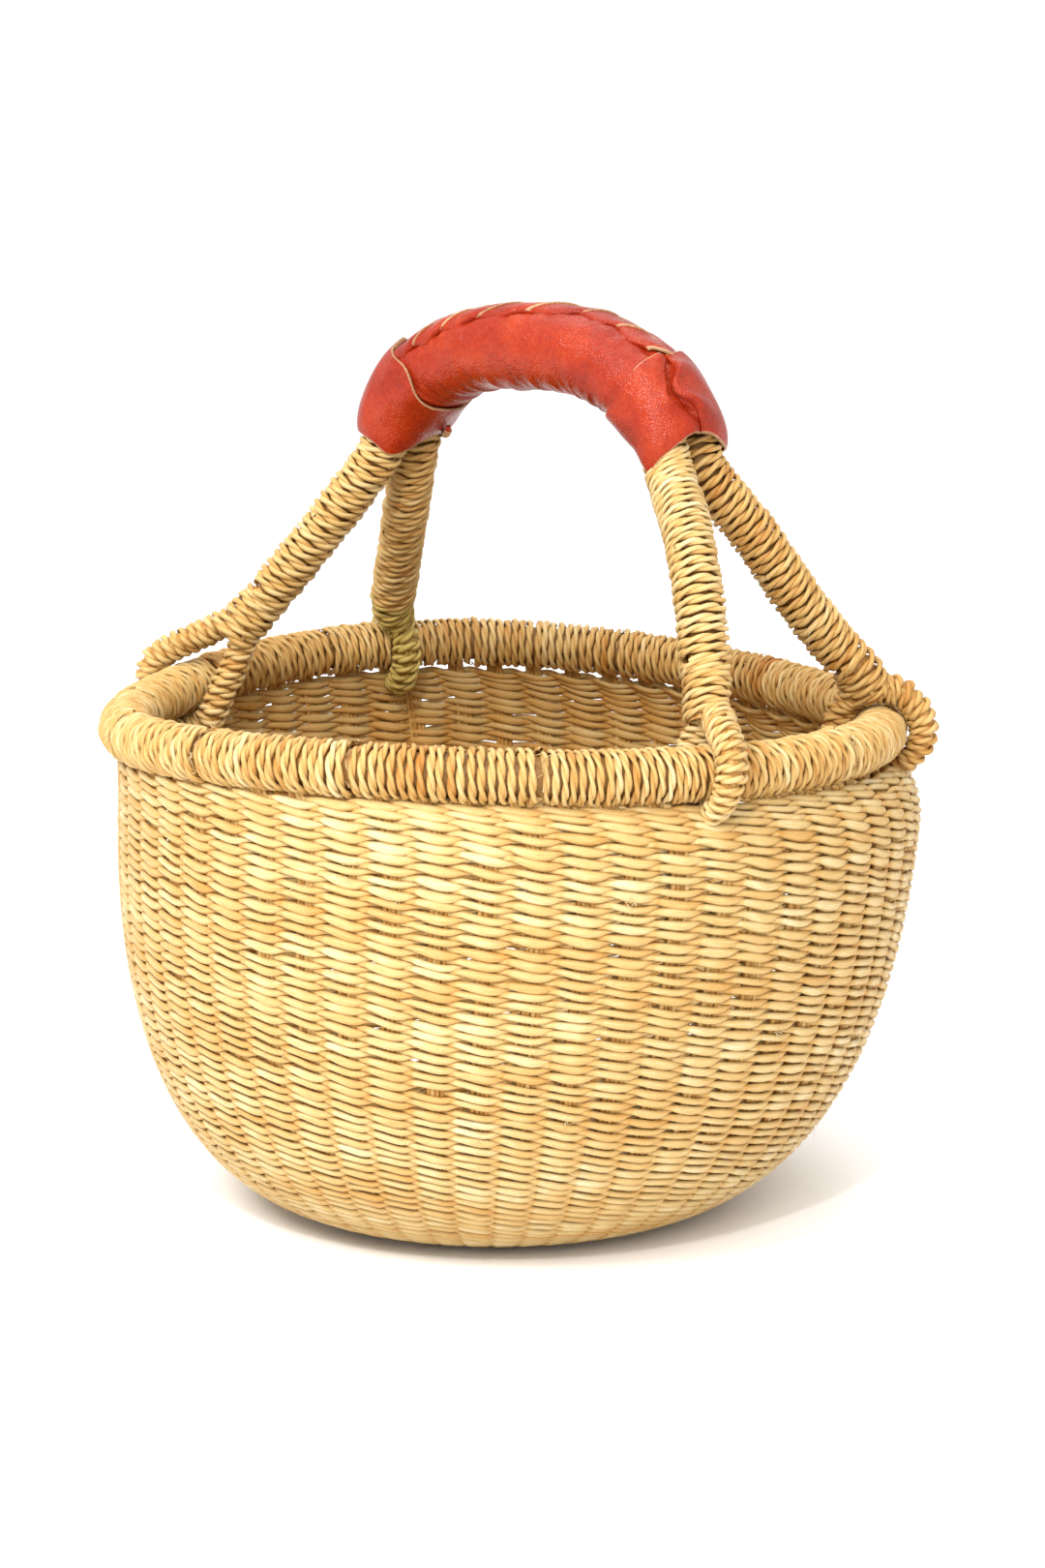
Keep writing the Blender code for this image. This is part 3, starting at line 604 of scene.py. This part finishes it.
def build_fray():
    """Loose fibres, and short straw ends where a weaver joined in a new straw."""
    strands = Strands()
    for _ in range(LOOSE_FIBRES):
        column, share = RNG.integers(COLUMNS), RNG.uniform(0.36, 0.985)
        point, up, out = (rows[column] for rows in WALL.at(np.full(COLUMNS, share)))
        along = np.cross(up, out) * RNG.choice([-1, 1]) + up * RNG.normal(0, 0.5)
        hair(strands, point + out * FACE_OUT, unit(along), out, RNG.uniform(0.003, 0.009),
             RNG.uniform(0.00005, 0.00010), RNG.uniform(0.3, 0.9))
    for _ in range(STRAW_JOINS):
        gap, share = RNG.integers(STAKES), RNG.uniform(0.40, 0.97)
        column = (gap * SAMPLES + SAMPLES // 2) % COLUMNS
        point, up, out = (rows[column] for rows in WALL.at(np.full(COLUMNS, share)))
        across = np.cross(up, out)
        for _ in range(RNG.integers(4, 9)):
            root = (point + out * (FACE_OUT - 0.0001) + across * RNG.normal(0, 0.0018)
                    + up * RNG.normal(0, 0.0006))
            away = unit(across * RNG.normal(0, 1) + up * RNG.normal(0, 1.2))
            hair(strands, root, away, out, RNG.uniform(0.0012, 0.0034),
                 RNG.uniform(0.00014, 0.00030), RNG.uniform(0.45, 1.0))
    strands.piece("loose_fibres", WEAVE_STRAW, "weave", "side_weft_outer")


def build_stakes():
    """The stakes; next to a loop they lean aside, and every one ends inside the rim."""
    strands = Strands()
    lean_to = set(LOOP_GAPS.values())
    distance = np.linspace(STAKE_STARTS[0][0], WALL.length, 90)
    for k in range(STAKES):
        start = next(start for start, number in STAKE_STARTS if k % (STAKES // number) == 0)
        own = distance[distance >= start]
        wall = Wall(np.full(len(own), FIRST_GAP + PITCH * (k + 0.5)), 300)
        point, up, out = wall.at(own / wall.length)
        side = unit(np.cross(up, out))
        radius = np.hypot(point[:, 0], point[:, 1])
        place = 2 * math.pi * radius / stakes_at(own)
        room = np.minimum(1.0, 0.80 * place / (STRAWS * STRAW_STEP))
        aside = (k in lean_to) - ((k + 1) % STAKES in lean_to)
        lean = 0.0042 * aside * np.clip((own / wall.length - 0.80) / 0.14, 0, 1)
        for straw_index in range(STRAWS):
            offset = (straw_index - (STRAWS - 1) / 2) * STRAW_STEP * room
            jitter = np.interp(own, np.linspace(0, STRAW_LENGTH, 12), RNG.normal(0, 0.00014, 12))
            depth = np.interp(own, np.linspace(0, STRAW_LENGTH, 14), RNG.normal(0, 0.00018, 14))
            line = point - side * (offset + jitter + lean)[:, None] + out * depth[:, None]
            into_rim = rim_point(math.atan2(line[-1, 1], line[-1, 0]))
            line = np.vstack([line, line[-1] * 0.5 + into_rim * 0.5])
            outward = np.vstack([out, out[-1:]])
            size = STRAW_R * np.append(np.minimum(room + 0.25, 1), 1)
            strands.add(line, outward, size, size, 0.55 + RNG.normal(0, 0.16), sides=5)
    strands.piece("stakes", STAKE_STRAW, "stakes", "stake_cage")


# ---------------- cord
def wound_cord(strands, path, across, half_across, half_along, pitch, start=0.0,
               lay=CORD_LAY, tone=0.5, slack=1.0, tint=0.10):
    """Two-ply cord wound round a path; half sizes are the winding's outer half axes.

    slack is how unevenly it is wound, tint how much its colour changes along it.
    """
    ply, side_step, out_step = CORD_PLY * pitch, CORD_SIDE * pitch, CORD_OUT * pitch
    length = distances(path)[-1]
    turns = max(1, round(length / pitch))
    count = turns * CORD_POINTS
    run = np.linspace(0, length, count)
    line = along_line(path, run)
    ahead = tangents(line)
    if across.ndim > 1:
        across = along_line(across, run / length * distances(across)[-1])
    first = unit(across - ahead * (across * ahead).sum(-1, keepdims=True))
    second = np.cross(ahead, first)

    def ragged(knots, amount):
        return np.interp(run, np.linspace(0, length, knots), RNG.normal(0, amount, knots))

    spin = start + 2 * math.pi * turns * run / length
    sink = ply + out_step
    wide, deep = (np.interp(run, np.linspace(0, length, np.size(half)), np.atleast_1d(half)) - sink
                  for half in (half_across, half_along))
    slip = ragged(turns * 2 + 1, 0.06 * pitch * slack)
    lift = ragged(turns * 3 + 1, 0.00013 * slack)
    cos, sin = np.cos(spin)[:, None], np.sin(spin)[:, None]
    radial = unit(first * cos * deep[:, None] + second * sin * wide[:, None])
    centre = (line + first * cos * wide[:, None] + second * sin * deep[:, None]
              + ahead * slip[:, None] + radial * lift[:, None])
    twist = 2 * math.pi * distances(centre) / lay + RNG.random() * 6 + ragged(turns + 1, 0.6)
    shade = tone + ragged(turns * 2, tint)
    for k in (0, 1):
        angle = twist + math.pi * k
        ply_line = (centre + radial * (out_step * np.cos(angle))[:, None]
                    + ahead * (side_step * np.sin(angle))[:, None])
        plump = 1 + ragged(turns * 4 + 1, 0.07)
        # painted shade: a ply is darker where its twist turns it down towards the core, between its
        # neighbours
        inside = 0.15 * (1 - np.cos(angle))
        strands.add(ply_line, radial, ply * 0.95 * plump, ply * 1.05 * plump, shade - inside)
    for i in RNG.integers(0, count - 1, turns * 2):
        along = unit(centre[i + 1] - centre[i]) * RNG.choice([-1, 1]) + ahead[i] * RNG.normal(0, 0.3)
        hair(strands, centre[i] + radial[i] * ply * 1.5, unit(along), radial[i],
             RNG.uniform(0.0012, 0.0042), RNG.uniform(0.00005, 0.00009), 0.9)


def core_bundle(name, path, radius, nodes, closed=False):
    """The bundle of straws inside a winding, as one bar."""
    strands = Strands()
    side = unit(np.cross(tangents(path, closed), UP))
    strands.add(path, side, radius, radius, 0.3, sides=14, closed=closed)
    strands.piece(name, CORE_STRAW, "straw_core", *nodes)


def rim_stretch(low, high, steps=60):
    """Path and outward vectors of the rim between two azimuths."""
    azimuths = np.linspace(low, high, steps)
    return rim_point(azimuths), outwards(azimuths)


def build_rim():
    whole = rim_point(np.linspace(0, 2 * math.pi, 240, endpoint=False))
    core_bundle("rim_bundle", whole, RIM_CORE_R, ["rim_core"], closed=True)
    change = CHANGE_OVER / RIM_R
    for k in range(RIM_LENGTHS):
        low = RIM_START + 2 * math.pi * k / RIM_LENGTHS
        high = low + 2 * math.pi / RIM_LENGTHS
        strands = Strands()
        tone = 0.55 + RNG.normal(0, 0.05)
        path, across = rim_stretch(low + change / 2, high - change / 2)
        # a length starts thin and ends a little thick
        swell = np.interp(np.linspace(0, 1, 60), (0, 0.05, 0.90, 1), (-0.0009, 0, 0.0001, 0.0006))
        wound_cord(strands, path, across, RIM_OUTER + 0.0001 + swell, RIM_OUTER + swell,
                   RIM_PITCH + RNG.normal(0, 0.00020), start=-math.pi / 2, tone=tone, slack=1.3,
                   tint=0.13)
        path, across = rim_stretch(low - change, low + change, 8)
        strands.add(path, across, RIM_OUTER - NOTCH_DEPTH, RIM_OUTER - NOTCH_DEPTH, -0.1, sides=18)
        for turn in RNG.uniform(-0.6 * math.pi, 0.9 * math.pi, NOTCH_FIBRES):
            away = across[4] * math.cos(turn) + UP * math.sin(turn)
            root = path[4] + away * (RIM_OUTER - 0.0009)
            along = unit(np.cross(away, np.cross(across[4], UP)) * RNG.choice([-1, 1])
                         + np.cross(UP, across[4]) * RNG.normal(0, 0.9))
            hair(strands, root, along, away, RNG.uniform(0.0015, 0.0045),
                 RNG.uniform(0.00012, 0.00032), RNG.uniform(0.2, 0.9))
        strands.piece(f"rim_cord_{k + 1:02d}", CORD_STRAW, "rim_cord", f"rim_wrap_{k + 1:02d}")


# ---------------- handle routes
def through(knots):
    """A smooth line through a few points (Catmull-Rom)."""
    knots = [2 * knots[0] - knots[1], *knots, 2 * knots[-1] - knots[-2]]
    line = []
    for a, b, c, d in zip(knots, knots[1:], knots[2:], knots[3:]):
        for i in range(PER_SPAN):
            t = i / PER_SPAN
            line.append(0.5 * (2 * b + (c - a) * t + (2 * a - 5 * b + 4 * c - d) * t ** 2
                               + (3 * b - a - 3 * c + d) * t ** 3))
    return np.array([*line, knots[-2]])


def arch_point(share, y):
    start = math.asin(((ARCH_END_Z - ARCH_CENTRE[2]) / ARCH_RISE) ** (ARCH_POWER / 2))
    turn = start + (math.pi - 2 * start) * share
    across = -math.copysign(abs(math.cos(turn)) ** (2 / ARCH_POWER), math.cos(turn))
    rise = math.sin(turn) ** (2 / ARCH_POWER)
    return np.array([ARCH_CENTRE[0] + ARCH_HALF * across, y, ARCH_CENTRE[2] + ARCH_RISE * rise])


def hoop_line(side):
    """Middle line of one hoop, from its left foot over the arch to its right foot."""
    y = ARCH_CENTRE[1] + HOOP_SPACING / 2 * (-1 if side == "front" else 1)
    left = [np.array(p) for p in LEG_ROUTES[side + "_left"]]
    right = [np.array(p) for p in LEG_ROUTES[side + "_right"]]
    over = [arch_point(i / ARCH_SPANS, y) for i in range(ARCH_SPANS + 1)]
    return through([*left, *over, *reversed(right)])


def leg_line(corner):
    """A leg's middle line from its foot up to the grip and on over the arch."""
    side, end = corner.split("_")
    line = hoop_line(side)
    return line if end == "left" else line[::-1]


def loop_ring(corner):
    """Middle line of a loop, its radii, its crown, the way out of the basket, the way up."""
    azimuth = FIRST_GAP + PITCH * LOOP_GAPS[corner]
    eye = rim_point(azimuth)
    foot = np.array(LEG_ROUTES[corner][0])
    outward = outwards(azimuth)
    along = np.array([-outward[1], outward[0], 0.0])
    aside = along * ((foot - eye) @ along)
    up = unit(foot - eye - aside)
    outward = unit(outward - up * (outward @ up))
    tall = np.linalg.norm(foot - eye - aside)
    crown = max(LOOP_REACH + CROWN_MIN, tall - CROWN_DROP) - CROWN_R
    leave = math.acos((LOOP_REACH - CROWN_R) / crown)
    span = np.linalg.norm(foot - eye)
    turn = np.linspace(leave, 2 * math.pi - leave, 90)[:, None]
    reach = LOOP_REACH - LOOP_SQUEEZE * np.clip(-np.cos(turn), 0, 1) ** 2
    belt = (eye + reach * (up * np.cos(turn) + outward * np.sin(turn))
            + along * LOOP_LEAN.get(corner, 0.0) * (1 - np.cos(turn)) / 2)
    turn = np.linspace(-leave, leave, 26)[:, None]
    lift = crown + CROWN_R * np.cos(turn)
    arc = eye + aside * lift / span + up * lift + outward * CROWN_R * np.sin(turn)
    top = eye + aside * crown / span + up * (crown + CROWN_R)
    ring = np.vstack([belt, arc[1:-1]])
    for _ in range(6):
        ring = (np.roll(ring, 1, 0) + 2 * ring + np.roll(ring, -1, 0)) / 4
    ring = np.vstack([ring, ring[:1]])
    ring = stretch(ring, 0, distances(ring)[-1], 0.0012)
    low = np.clip(-(ring - eye) @ up / LOOP_REACH, 0, 1) ** 2
    return ring, LOOP_STRAND_R - LOOP_SQUEEZE * low, top, outward, unit(foot - eye)


def build_loops():
    """Each loop is a closed ring of cord round the rim, and a neck that joins it to its leg."""
    for corner, pitches in CORD_PITCH.items():
        ring, radius, top, outward, up = loop_ring(corner)
        strands = Strands()
        across = unit(ring - ring.mean(0))
        wound_cord(strands, ring, across, radius + LOOP_CORD_OUT, radius + LOOP_CORD_OUT,
                   pitches[2], lay=LOOP_LAY, tone=LEG_TONE[corner] - 0.06)
        strands.add(ring, across, radius - LOOP_CORE_IN, radius - LOOP_CORE_IN, 0.2, sides=10)
        route = leg_line(corner)
        end = along_line(route, np.array([NECK]))[0]
        knee = along_line(route, np.array([NECK * 0.45]))[0]
        neck = through([top - up * 0.0035, knee, end])
        wide, deep = np.array([NECK_TOP, NECK_MIDDLE, (LEG_CORD_R, LEG_CORD_R)]).T
        wound_cord(strands, neck, outward, wide, deep, pitches[0], tone=LEG_TONE[corner] - 0.06)
        strands.add(neck, outward, NECK_CORE_R, NECK_CORE_R, 0.2, sides=12)
        green = (corner, "loop") in GREEN_LENGTHS
        strands.piece("loop_cord_" + corner, GREEN_CORD if green else CORD_STRAW, "loop_cord",
                      "loop_" + corner)


def build_legs():
    """The cord on the legs, in two lengths each, and the two hoops of straw inside it."""
    for corner, pitches in CORD_PITCH.items():
        route = leg_line(corner)
        arch = distances(route[ARCH])[-1]
        top = distances(route[:LEG_KNOTS * PER_SPAN + 1])[-1] + LEG_TOP * arch
        middle = NECK + (top - NECK) * LEG_SPLIT
        top += LEG_HIDDEN * arch
        for part, (low, high), pitch in (("lower", (NECK, middle), pitches[0]),
                                         ("upper", (middle, top), pitches[1])):
            path = stretch(route, low, high)
            strands = Strands()
            wound_cord(strands, path, np.array([0.0, -1.0, 0.2]), LEG_CORD_R, LEG_CORD_R,
                       pitch, tone=LEG_TONE[corner] + RNG.normal(0, 0.03))
            green = (corner, part) in GREEN_LENGTHS
            strands.piece(f"leg_cord_{corner}_{part}", GREEN_CORD if green else CORD_STRAW,
                          "leg_cord", f"leg_wrap_{corner}_{part}")
    for side in ("front", "back"):
        line = hoop_line(side)
        whole = distances(line)[-1]
        core_bundle("hoop_bundle_" + side, stretch(line, NECK, whole - NECK, 0.003), HOOP_R,
                    ["hoop_core_" + side])


# ---------------- leather grip
GRIP = (hoop_line("front")[ARCH] + hoop_line("back")[ARCH]) / 2
GRIP_LENGTH = distances(GRIP)[-1]


def grip_surface(share, turn, grow):
    """Points of the grip's skin; turn 0 is the back, a quarter turn the top, a half the front."""
    share, turn, grow = np.broadcast_arrays(share, turn, grow)
    at = share * (len(GRIP) - 1)
    index = np.arange(len(GRIP))
    middle = np.stack([np.interp(at, index, GRIP[:, k]) for k in range(3)], -1)
    ahead_line = tangents(GRIP)
    ahead = unit(np.stack([np.interp(at, index, ahead_line[:, k]) for k in range(3)], -1))
    across = np.array([0.0, 1.0, 0.0])
    outward = unit(np.cross(ahead, across))
    fullness = np.sin(math.pi * np.clip(share, 0.0001, 0.9999)) ** 0.6
    deep = GRIP_DEEP_END + (GRIP_DEEP_MID - GRIP_DEEP_END) * fullness + grow
    wide = GRIP_WIDE + grow
    c, s = np.cos(turn), np.sin(turn)
    return (middle + across * (wide * np.sign(c) * np.abs(c) ** OVAL_POWER)[..., None]
            + outward * (deep * np.sign(s) * np.abs(s) ** OVAL_POWER)[..., None])


def bell(place, at, width):
    """A smooth hill, 1 high at one place."""
    return np.exp(-((place - at) / width) ** 2)


def hill(turn, at, width):
    """A bell round the section; turn is in radians, at and width in degrees."""
    return bell((np.degrees(turn) - at + 180) % 360 - 180, 0, width)


def seam_turn(share):
    """The angle of the sleeve's seam: on the front at the left, near the top at the right."""
    return np.radians(154 - 50 * np.clip((share - 0.30) / 0.30, 0, 1) ** 1.3)


def wrinkles(share, turn):
    """Height of the leather's folds: across the underside, gathers at the seam, soft dents."""
    run = share * GRIP_LENGTH
    under = np.clip(-np.sin(turn), 0, 1) ** 1.5
    folds = np.zeros_like(run)
    for wave, slant, size in ((0.0052, 0.7, 0.00046), (0.0039, -1.1, 0.00036),
                              (0.0083, 0.4, 0.00046)):
        folds += size * (0.6 - np.abs(np.sin(math.pi * run / wave + slant * turn + 20 * slant)))
    soft = (0.00034 * np.sin(2 * math.pi * run / 0.031 + 2.2 * turn)
            + 0.00024 * np.sin(2 * math.pi * run / 0.019 - 3.1 * turn + 1.3)
            + 0.00012 * np.sin(2 * math.pi * run / 0.0068 + 4.6 * turn))
    from_seam = turn - seam_turn(share)
    gathers = 0.00022 * np.sin(2 * math.pi * run / 0.0056) * bell(from_seam, 0, 0.35)
    crease = -0.0012 * bell(from_seam, 0, 0.07)
    return folds * (0.10 + 0.90 * under) + soft * 0.7 + gathers + crease


def leather_sheet(name, share, turn, grow, thickness, nodes, closed=False, pale=((0, 360),) * 2):
    """A skin over the grip from grids of share, turn and height, with tan cut edges.

    pale says between which angles the first and the last edge show the cut on top as well.
    """
    steps, count = share.shape
    work = bmesh.new()
    grids = [[[work.verts.new(p) for p in row] for row in grip_surface(share, turn, height)]
             for height in (grow, grow - thickness)]
    spans = count if closed else count - 1
    over, below = grids
    edge = []
    pale_rows = dict(zip((0, steps - 2), pale))
    for i in range(steps - 1):
        for j in range(spans):
            k = (j + 1) % count
            face = work.faces.new((over[i][j], over[i + 1][j], over[i + 1][k], over[i][k]))
            if i in pale_rows:
                low, high = pale_rows[i]
                if low <= math.degrees(turn[i, j]) % 360 <= high:
                    edge.append(face)
            work.faces.new((below[i][k], below[i + 1][k], below[i + 1][j], below[i][j]))
    for i in (0, steps - 1):
        for j in range(spans):
            k = (j + 1) % count
            edge.append(work.faces.new((over[i][j], over[i][k], below[i][k], below[i][j])))
    if not closed:
        for j in (0, count - 1):
            for i in range(steps - 1):
                work.faces.new((over[i][j], over[i + 1][j], below[i + 1][j], below[i][j]))
    bmesh.ops.recalc_face_normals(work, faces=work.faces)
    for face in work.faces:
        face.smooth = True
    for face in edge:
        face.material_index = 1
    mesh = bpy.data.meshes.new(name)
    work.to_mesh(mesh)
    work.free()
    thing = finish_piece(name, mesh, RED_LEATHER, "red_leather", *nodes)
    mesh.materials.append(TAN_EDGE)
    bevel = thing.modifiers.new("edge", "BEVEL")
    bevel.width = 0.00025
    bevel.segments = 2
    bevel.limit_method = "ANGLE"
    bevel.angle_limit = math.radians(50)


def with_strips(steps, strip):
    """Even steps from 0 to 1 with one narrow strip at each end."""
    return np.concatenate([[0.0], np.linspace(strip, 1 - strip, steps - 2), [1.0]])


def cuff(name, mouth, inner, seam, node_name, way=1, slit=0.0, drawn=0.0, pale=(0, 360)):
    """A cuff wrapped round the sleeve's end; its outer end lies over its beginning.

    mouth and inner give the cuff's two edges for each turn, seam the angle of its outer end;
    way is 1 where that end comes round from the back, -1 where it comes from the front. drawn
    is how far its underside is pulled in at the mouth.
    """
    t, v = np.meshgrid(with_strips(46, 0.012), np.linspace(0, 1, 170), indexing="ij")
    turn = np.radians(seam(t) - way * (360 + CUFF_OVERLAP) * (1 - v))
    first, last = mouth(turn), inner(turn)
    share = first + (last - first) * t
    run = share * GRIP_LENGTH
    bulge = (0.00030 * np.sin(3.0 * turn + 60 * run) + 0.00020 * np.sin(5.0 * turn - 130 * run + 1)
             + 0.00010 * np.sin(9.0 * turn + 310 * run + 2))
    beside = np.degrees(turn - np.radians(seam(t)))
    beside = (beside + 180) % 360 - 180
    deep = 0.45 + 0.55 * bell(t, 0.48, 0.16) + 0.35 * t ** 3
    pucker = slit * (-PUCKER * deep * bell(beside, 3, 4.5)
                     + 0.0013 * np.sin(2 * math.pi * t * 2.2 + 0.9)
                     * np.sign(beside) * bell(beside, 0, 17))
    tuck = 0.0016 * (1 - t) ** 7 + 0.0004 * t ** 8 + drawn * (1 - t) ** 1.3 * hill(turn, 232, 58)
    gape = slit * 0.0016 * bell(t, 0.50, 0.20) * v ** 24
    lifted = (0.0005 + 0.0007 * slit) * v ** 10 + gape
    grow = CUFF_OUT + lifted + bulge + pucker - tuck
    leather_sheet(name, share, turn, grow, CUFF_T, [node_name], pale=((0, 360), pale))


def left_mouth(turn):
    return 0.034 - 0.020 * hill(turn, 224, 30) + 0.026 * hill(turn, 285, 26)


def left_inner(turn):
    return 0.222 + 0.040 * hill(turn, 186, 34) + 0.016 * hill(turn, 112, 10)


def right_mouth(turn):
    return 0.970 - 0.042 * hill(turn, 100, 42) + 0.026 * hill(turn, 203, 34)


def right_inner(turn):
    return 0.770 + 0.022 * hill(turn, 180, 44) - 0.010 * hill(turn, 50, 24)


def right_slit(t):
    """Angle of the right cuff's outer end, a wavering slit from its inner edge to its mouth."""
    return 96 + 18 * bell(t, 0.50, 0.20) - 6 * t ** 4


def build_seam_flaps():
    """The seam's lip: short rolled flaps of leather laid over each other, cut askew."""
    for k in range(SEAM_FLAPS):
        low = SEAM_FIRST + (SEAM_LAST - SEAM_FIRST) * k / SEAM_FLAPS
        high = low + (SEAM_LAST - SEAM_FIRST) / SEAM_FLAPS * FLAP_LAP
        t, v = np.meshgrid(with_strips(26, 0.075), np.linspace(0, 1, 16), indexing="ij")
        slant = (0.056 + RNG.normal(0, 0.008)) * (v - 0.5)
        share = low + (high - low) * t + slant
        width = math.radians(FLAP_WIDE + RNG.normal(0, 2))
        turn = seam_turn(share) - 0.03 + 0.19 * np.sin(math.pi * t) ** 2 * (1 - v) - width * v
        roll = 0.0013 * np.clip(np.sin(math.pi * np.clip(v * 1.35, 0, 1)), 0, 1) ** 0.6
        grow = (roll - 0.0004 * (v < 0.05) + 0.0006 * t ** 1.5 - 0.0003
                + 0.00016 * np.sin(9 * t + 3 * v + k))
        leather_sheet(f"seam_flap_{k + 1}", share, turn, grow, CUFF_T, ["seam_lace"],
                      pale=((0, 0), (0, 360)))


def build_grip():
    share, turn = np.meshgrid(np.linspace(SLEEVE_LEFT, SLEEVE_RIGHT, 220),
                              np.arange(120) / 120 * 2 * math.pi, indexing="ij")
    leather_sheet("sleeve", share, turn, wrinkles(share, turn), SLEEVE_T, ["grip_sleeve"],
                  closed=True)
    cuff("left_cuff", left_mouth, left_inner, lambda t: 104 + 8 * t, "cuff_left", way=-1)
    cuff("right_cuff", right_mouth, right_inner, right_slit, "cuff_right", slit=1.0,
         drawn=0.0034, pale=(0, 140))
    build_seam_flaps()
    strands = Strands()
    inside = np.linspace(SLEEVE_LEFT + PADDING_INSET, SLEEVE_RIGHT - PADDING_INSET, 40)
    line = along_line(GRIP, inside * GRIP_LENGTH)
    strands.add(line, np.array([0.0, 1.0, 0.0]), PADDING_WIDE, PADDING_DEEP, 0.3, sides=20)
    strands.piece("straw_padding", CORE_STRAW, "padding", "grip_padding")
    build_thong()


def build_thong():
    """The knotted end of the thong that draws the left cuff's mouth together."""
    place = grip_surface(KNOT_SHARE, KNOT_TURN, KNOT_OUT)
    ahead = unit(grip_surface(KNOT_SHARE + 0.03, KNOT_TURN, KNOT_OUT) - place)
    thong = Strands()
    for turn, length, droop in ((0.3, 0.0058, 0.5), (1.5, 0.0042, 0.2), (-0.9, 0.0034, 0.9)):
        t = np.linspace(-1, 1, 9)[:, None]
        aside = ahead * math.cos(turn) + np.array([0.0, -1.0, 0.0]) * math.sin(turn)
        line = place + aside * t * length / 2 - UP * droop * 0.0016 * (1 - t ** 2)
        taper = 1.15 - t[:, 0] ** 2 * 0.5
        thong.add(line, UP, 0.0008 * taper, 0.0013 * taper, 0.5, sides=8)
    knot = thong.piece("thong_knot", RED_LEATHER, "red_leather", "cuff_left")
    knot.data.materials.append(TAN_EDGE)
    for face in list(knot.data.polygons)[len(knot.data.polygons) // 3:]:
        face.material_index = 1


# ---------------- room
def toward(azimuth, elevation):
    """Direction at angles in degrees; azimuth 0 is the side of -y."""
    a, e = math.radians(azimuth), math.radians(elevation)
    return Vector((math.sin(a) * math.cos(e), -math.cos(a) * math.cos(e), math.sin(e)))


def build_room():
    data = bpy.data.cameras.new("camera")
    camera = add_object("camera", data)
    back = toward(CAMERA_AZIMUTH, CAMERA_ELEVATION)
    azimuth = math.radians(CAMERA_AZIMUTH)
    right = Vector((math.cos(azimuth), math.sin(azimuth), 0.0))
    camera.location = CAMERA_AIM + right * CAMERA_ASIDE + back * CAMERA_DISTANCE
    camera.rotation_euler = (-back).to_track_quat("-Z", "Y").to_euler()
    data.lens = FOCAL
    data.sensor_width = 36.0
    data.clip_start = 0.05
    bpy.context.scene.camera = camera

    mesh = bpy.data.meshes.new("floor")
    half = FLOOR_SIZE / 2
    z = CAD_LOW.z - FLOOR_DROP
    mesh.from_pydata([(-half, -half, z), (half, -half, z), (half, half, z), (-half, half, z)], [],
                     [(0, 1, 2, 3)])
    floor = add_object("floor", mesh)
    paper, _, shader = new_material("white_paper", 0.9)
    shader.inputs["Base Color"].default_value = (0.97, 0.966, 0.96, 1.0)
    shader.inputs["Specular IOR Level"].default_value = 0.1
    mesh.materials.append(paper)

    world = bpy.data.worlds.new("studio")
    bpy.context.scene.world = world
    world.use_nodes = True
    sky = world.node_tree.nodes["Background"]
    sky.inputs["Color"].default_value = (1.0, 1.0, 1.0, 1.0)
    sky.inputs["Strength"].default_value = SKY_STRENGTH
    for name, azimuth, elevation, size, power, colour in LAMPS:
        lamp = bpy.data.lights.new(name, "AREA")
        lamp.shape = "DISK"
        lamp.size = size
        lamp.energy = power
        lamp.color = colour
        lamp_object = add_object(name, lamp)
        away = toward(azimuth, elevation)
        lamp_object.location = CAMERA_AIM + away * LAMP_DISTANCE
        lamp_object.rotation_euler = (-away).to_track_quat("-Z", "Y").to_euler()
    bpy.context.scene.view_settings.view_transform = "Standard"


build_room()
build_weave()
build_fray()
build_stakes()
build_rim()
build_loops()
build_legs()
build_grip()
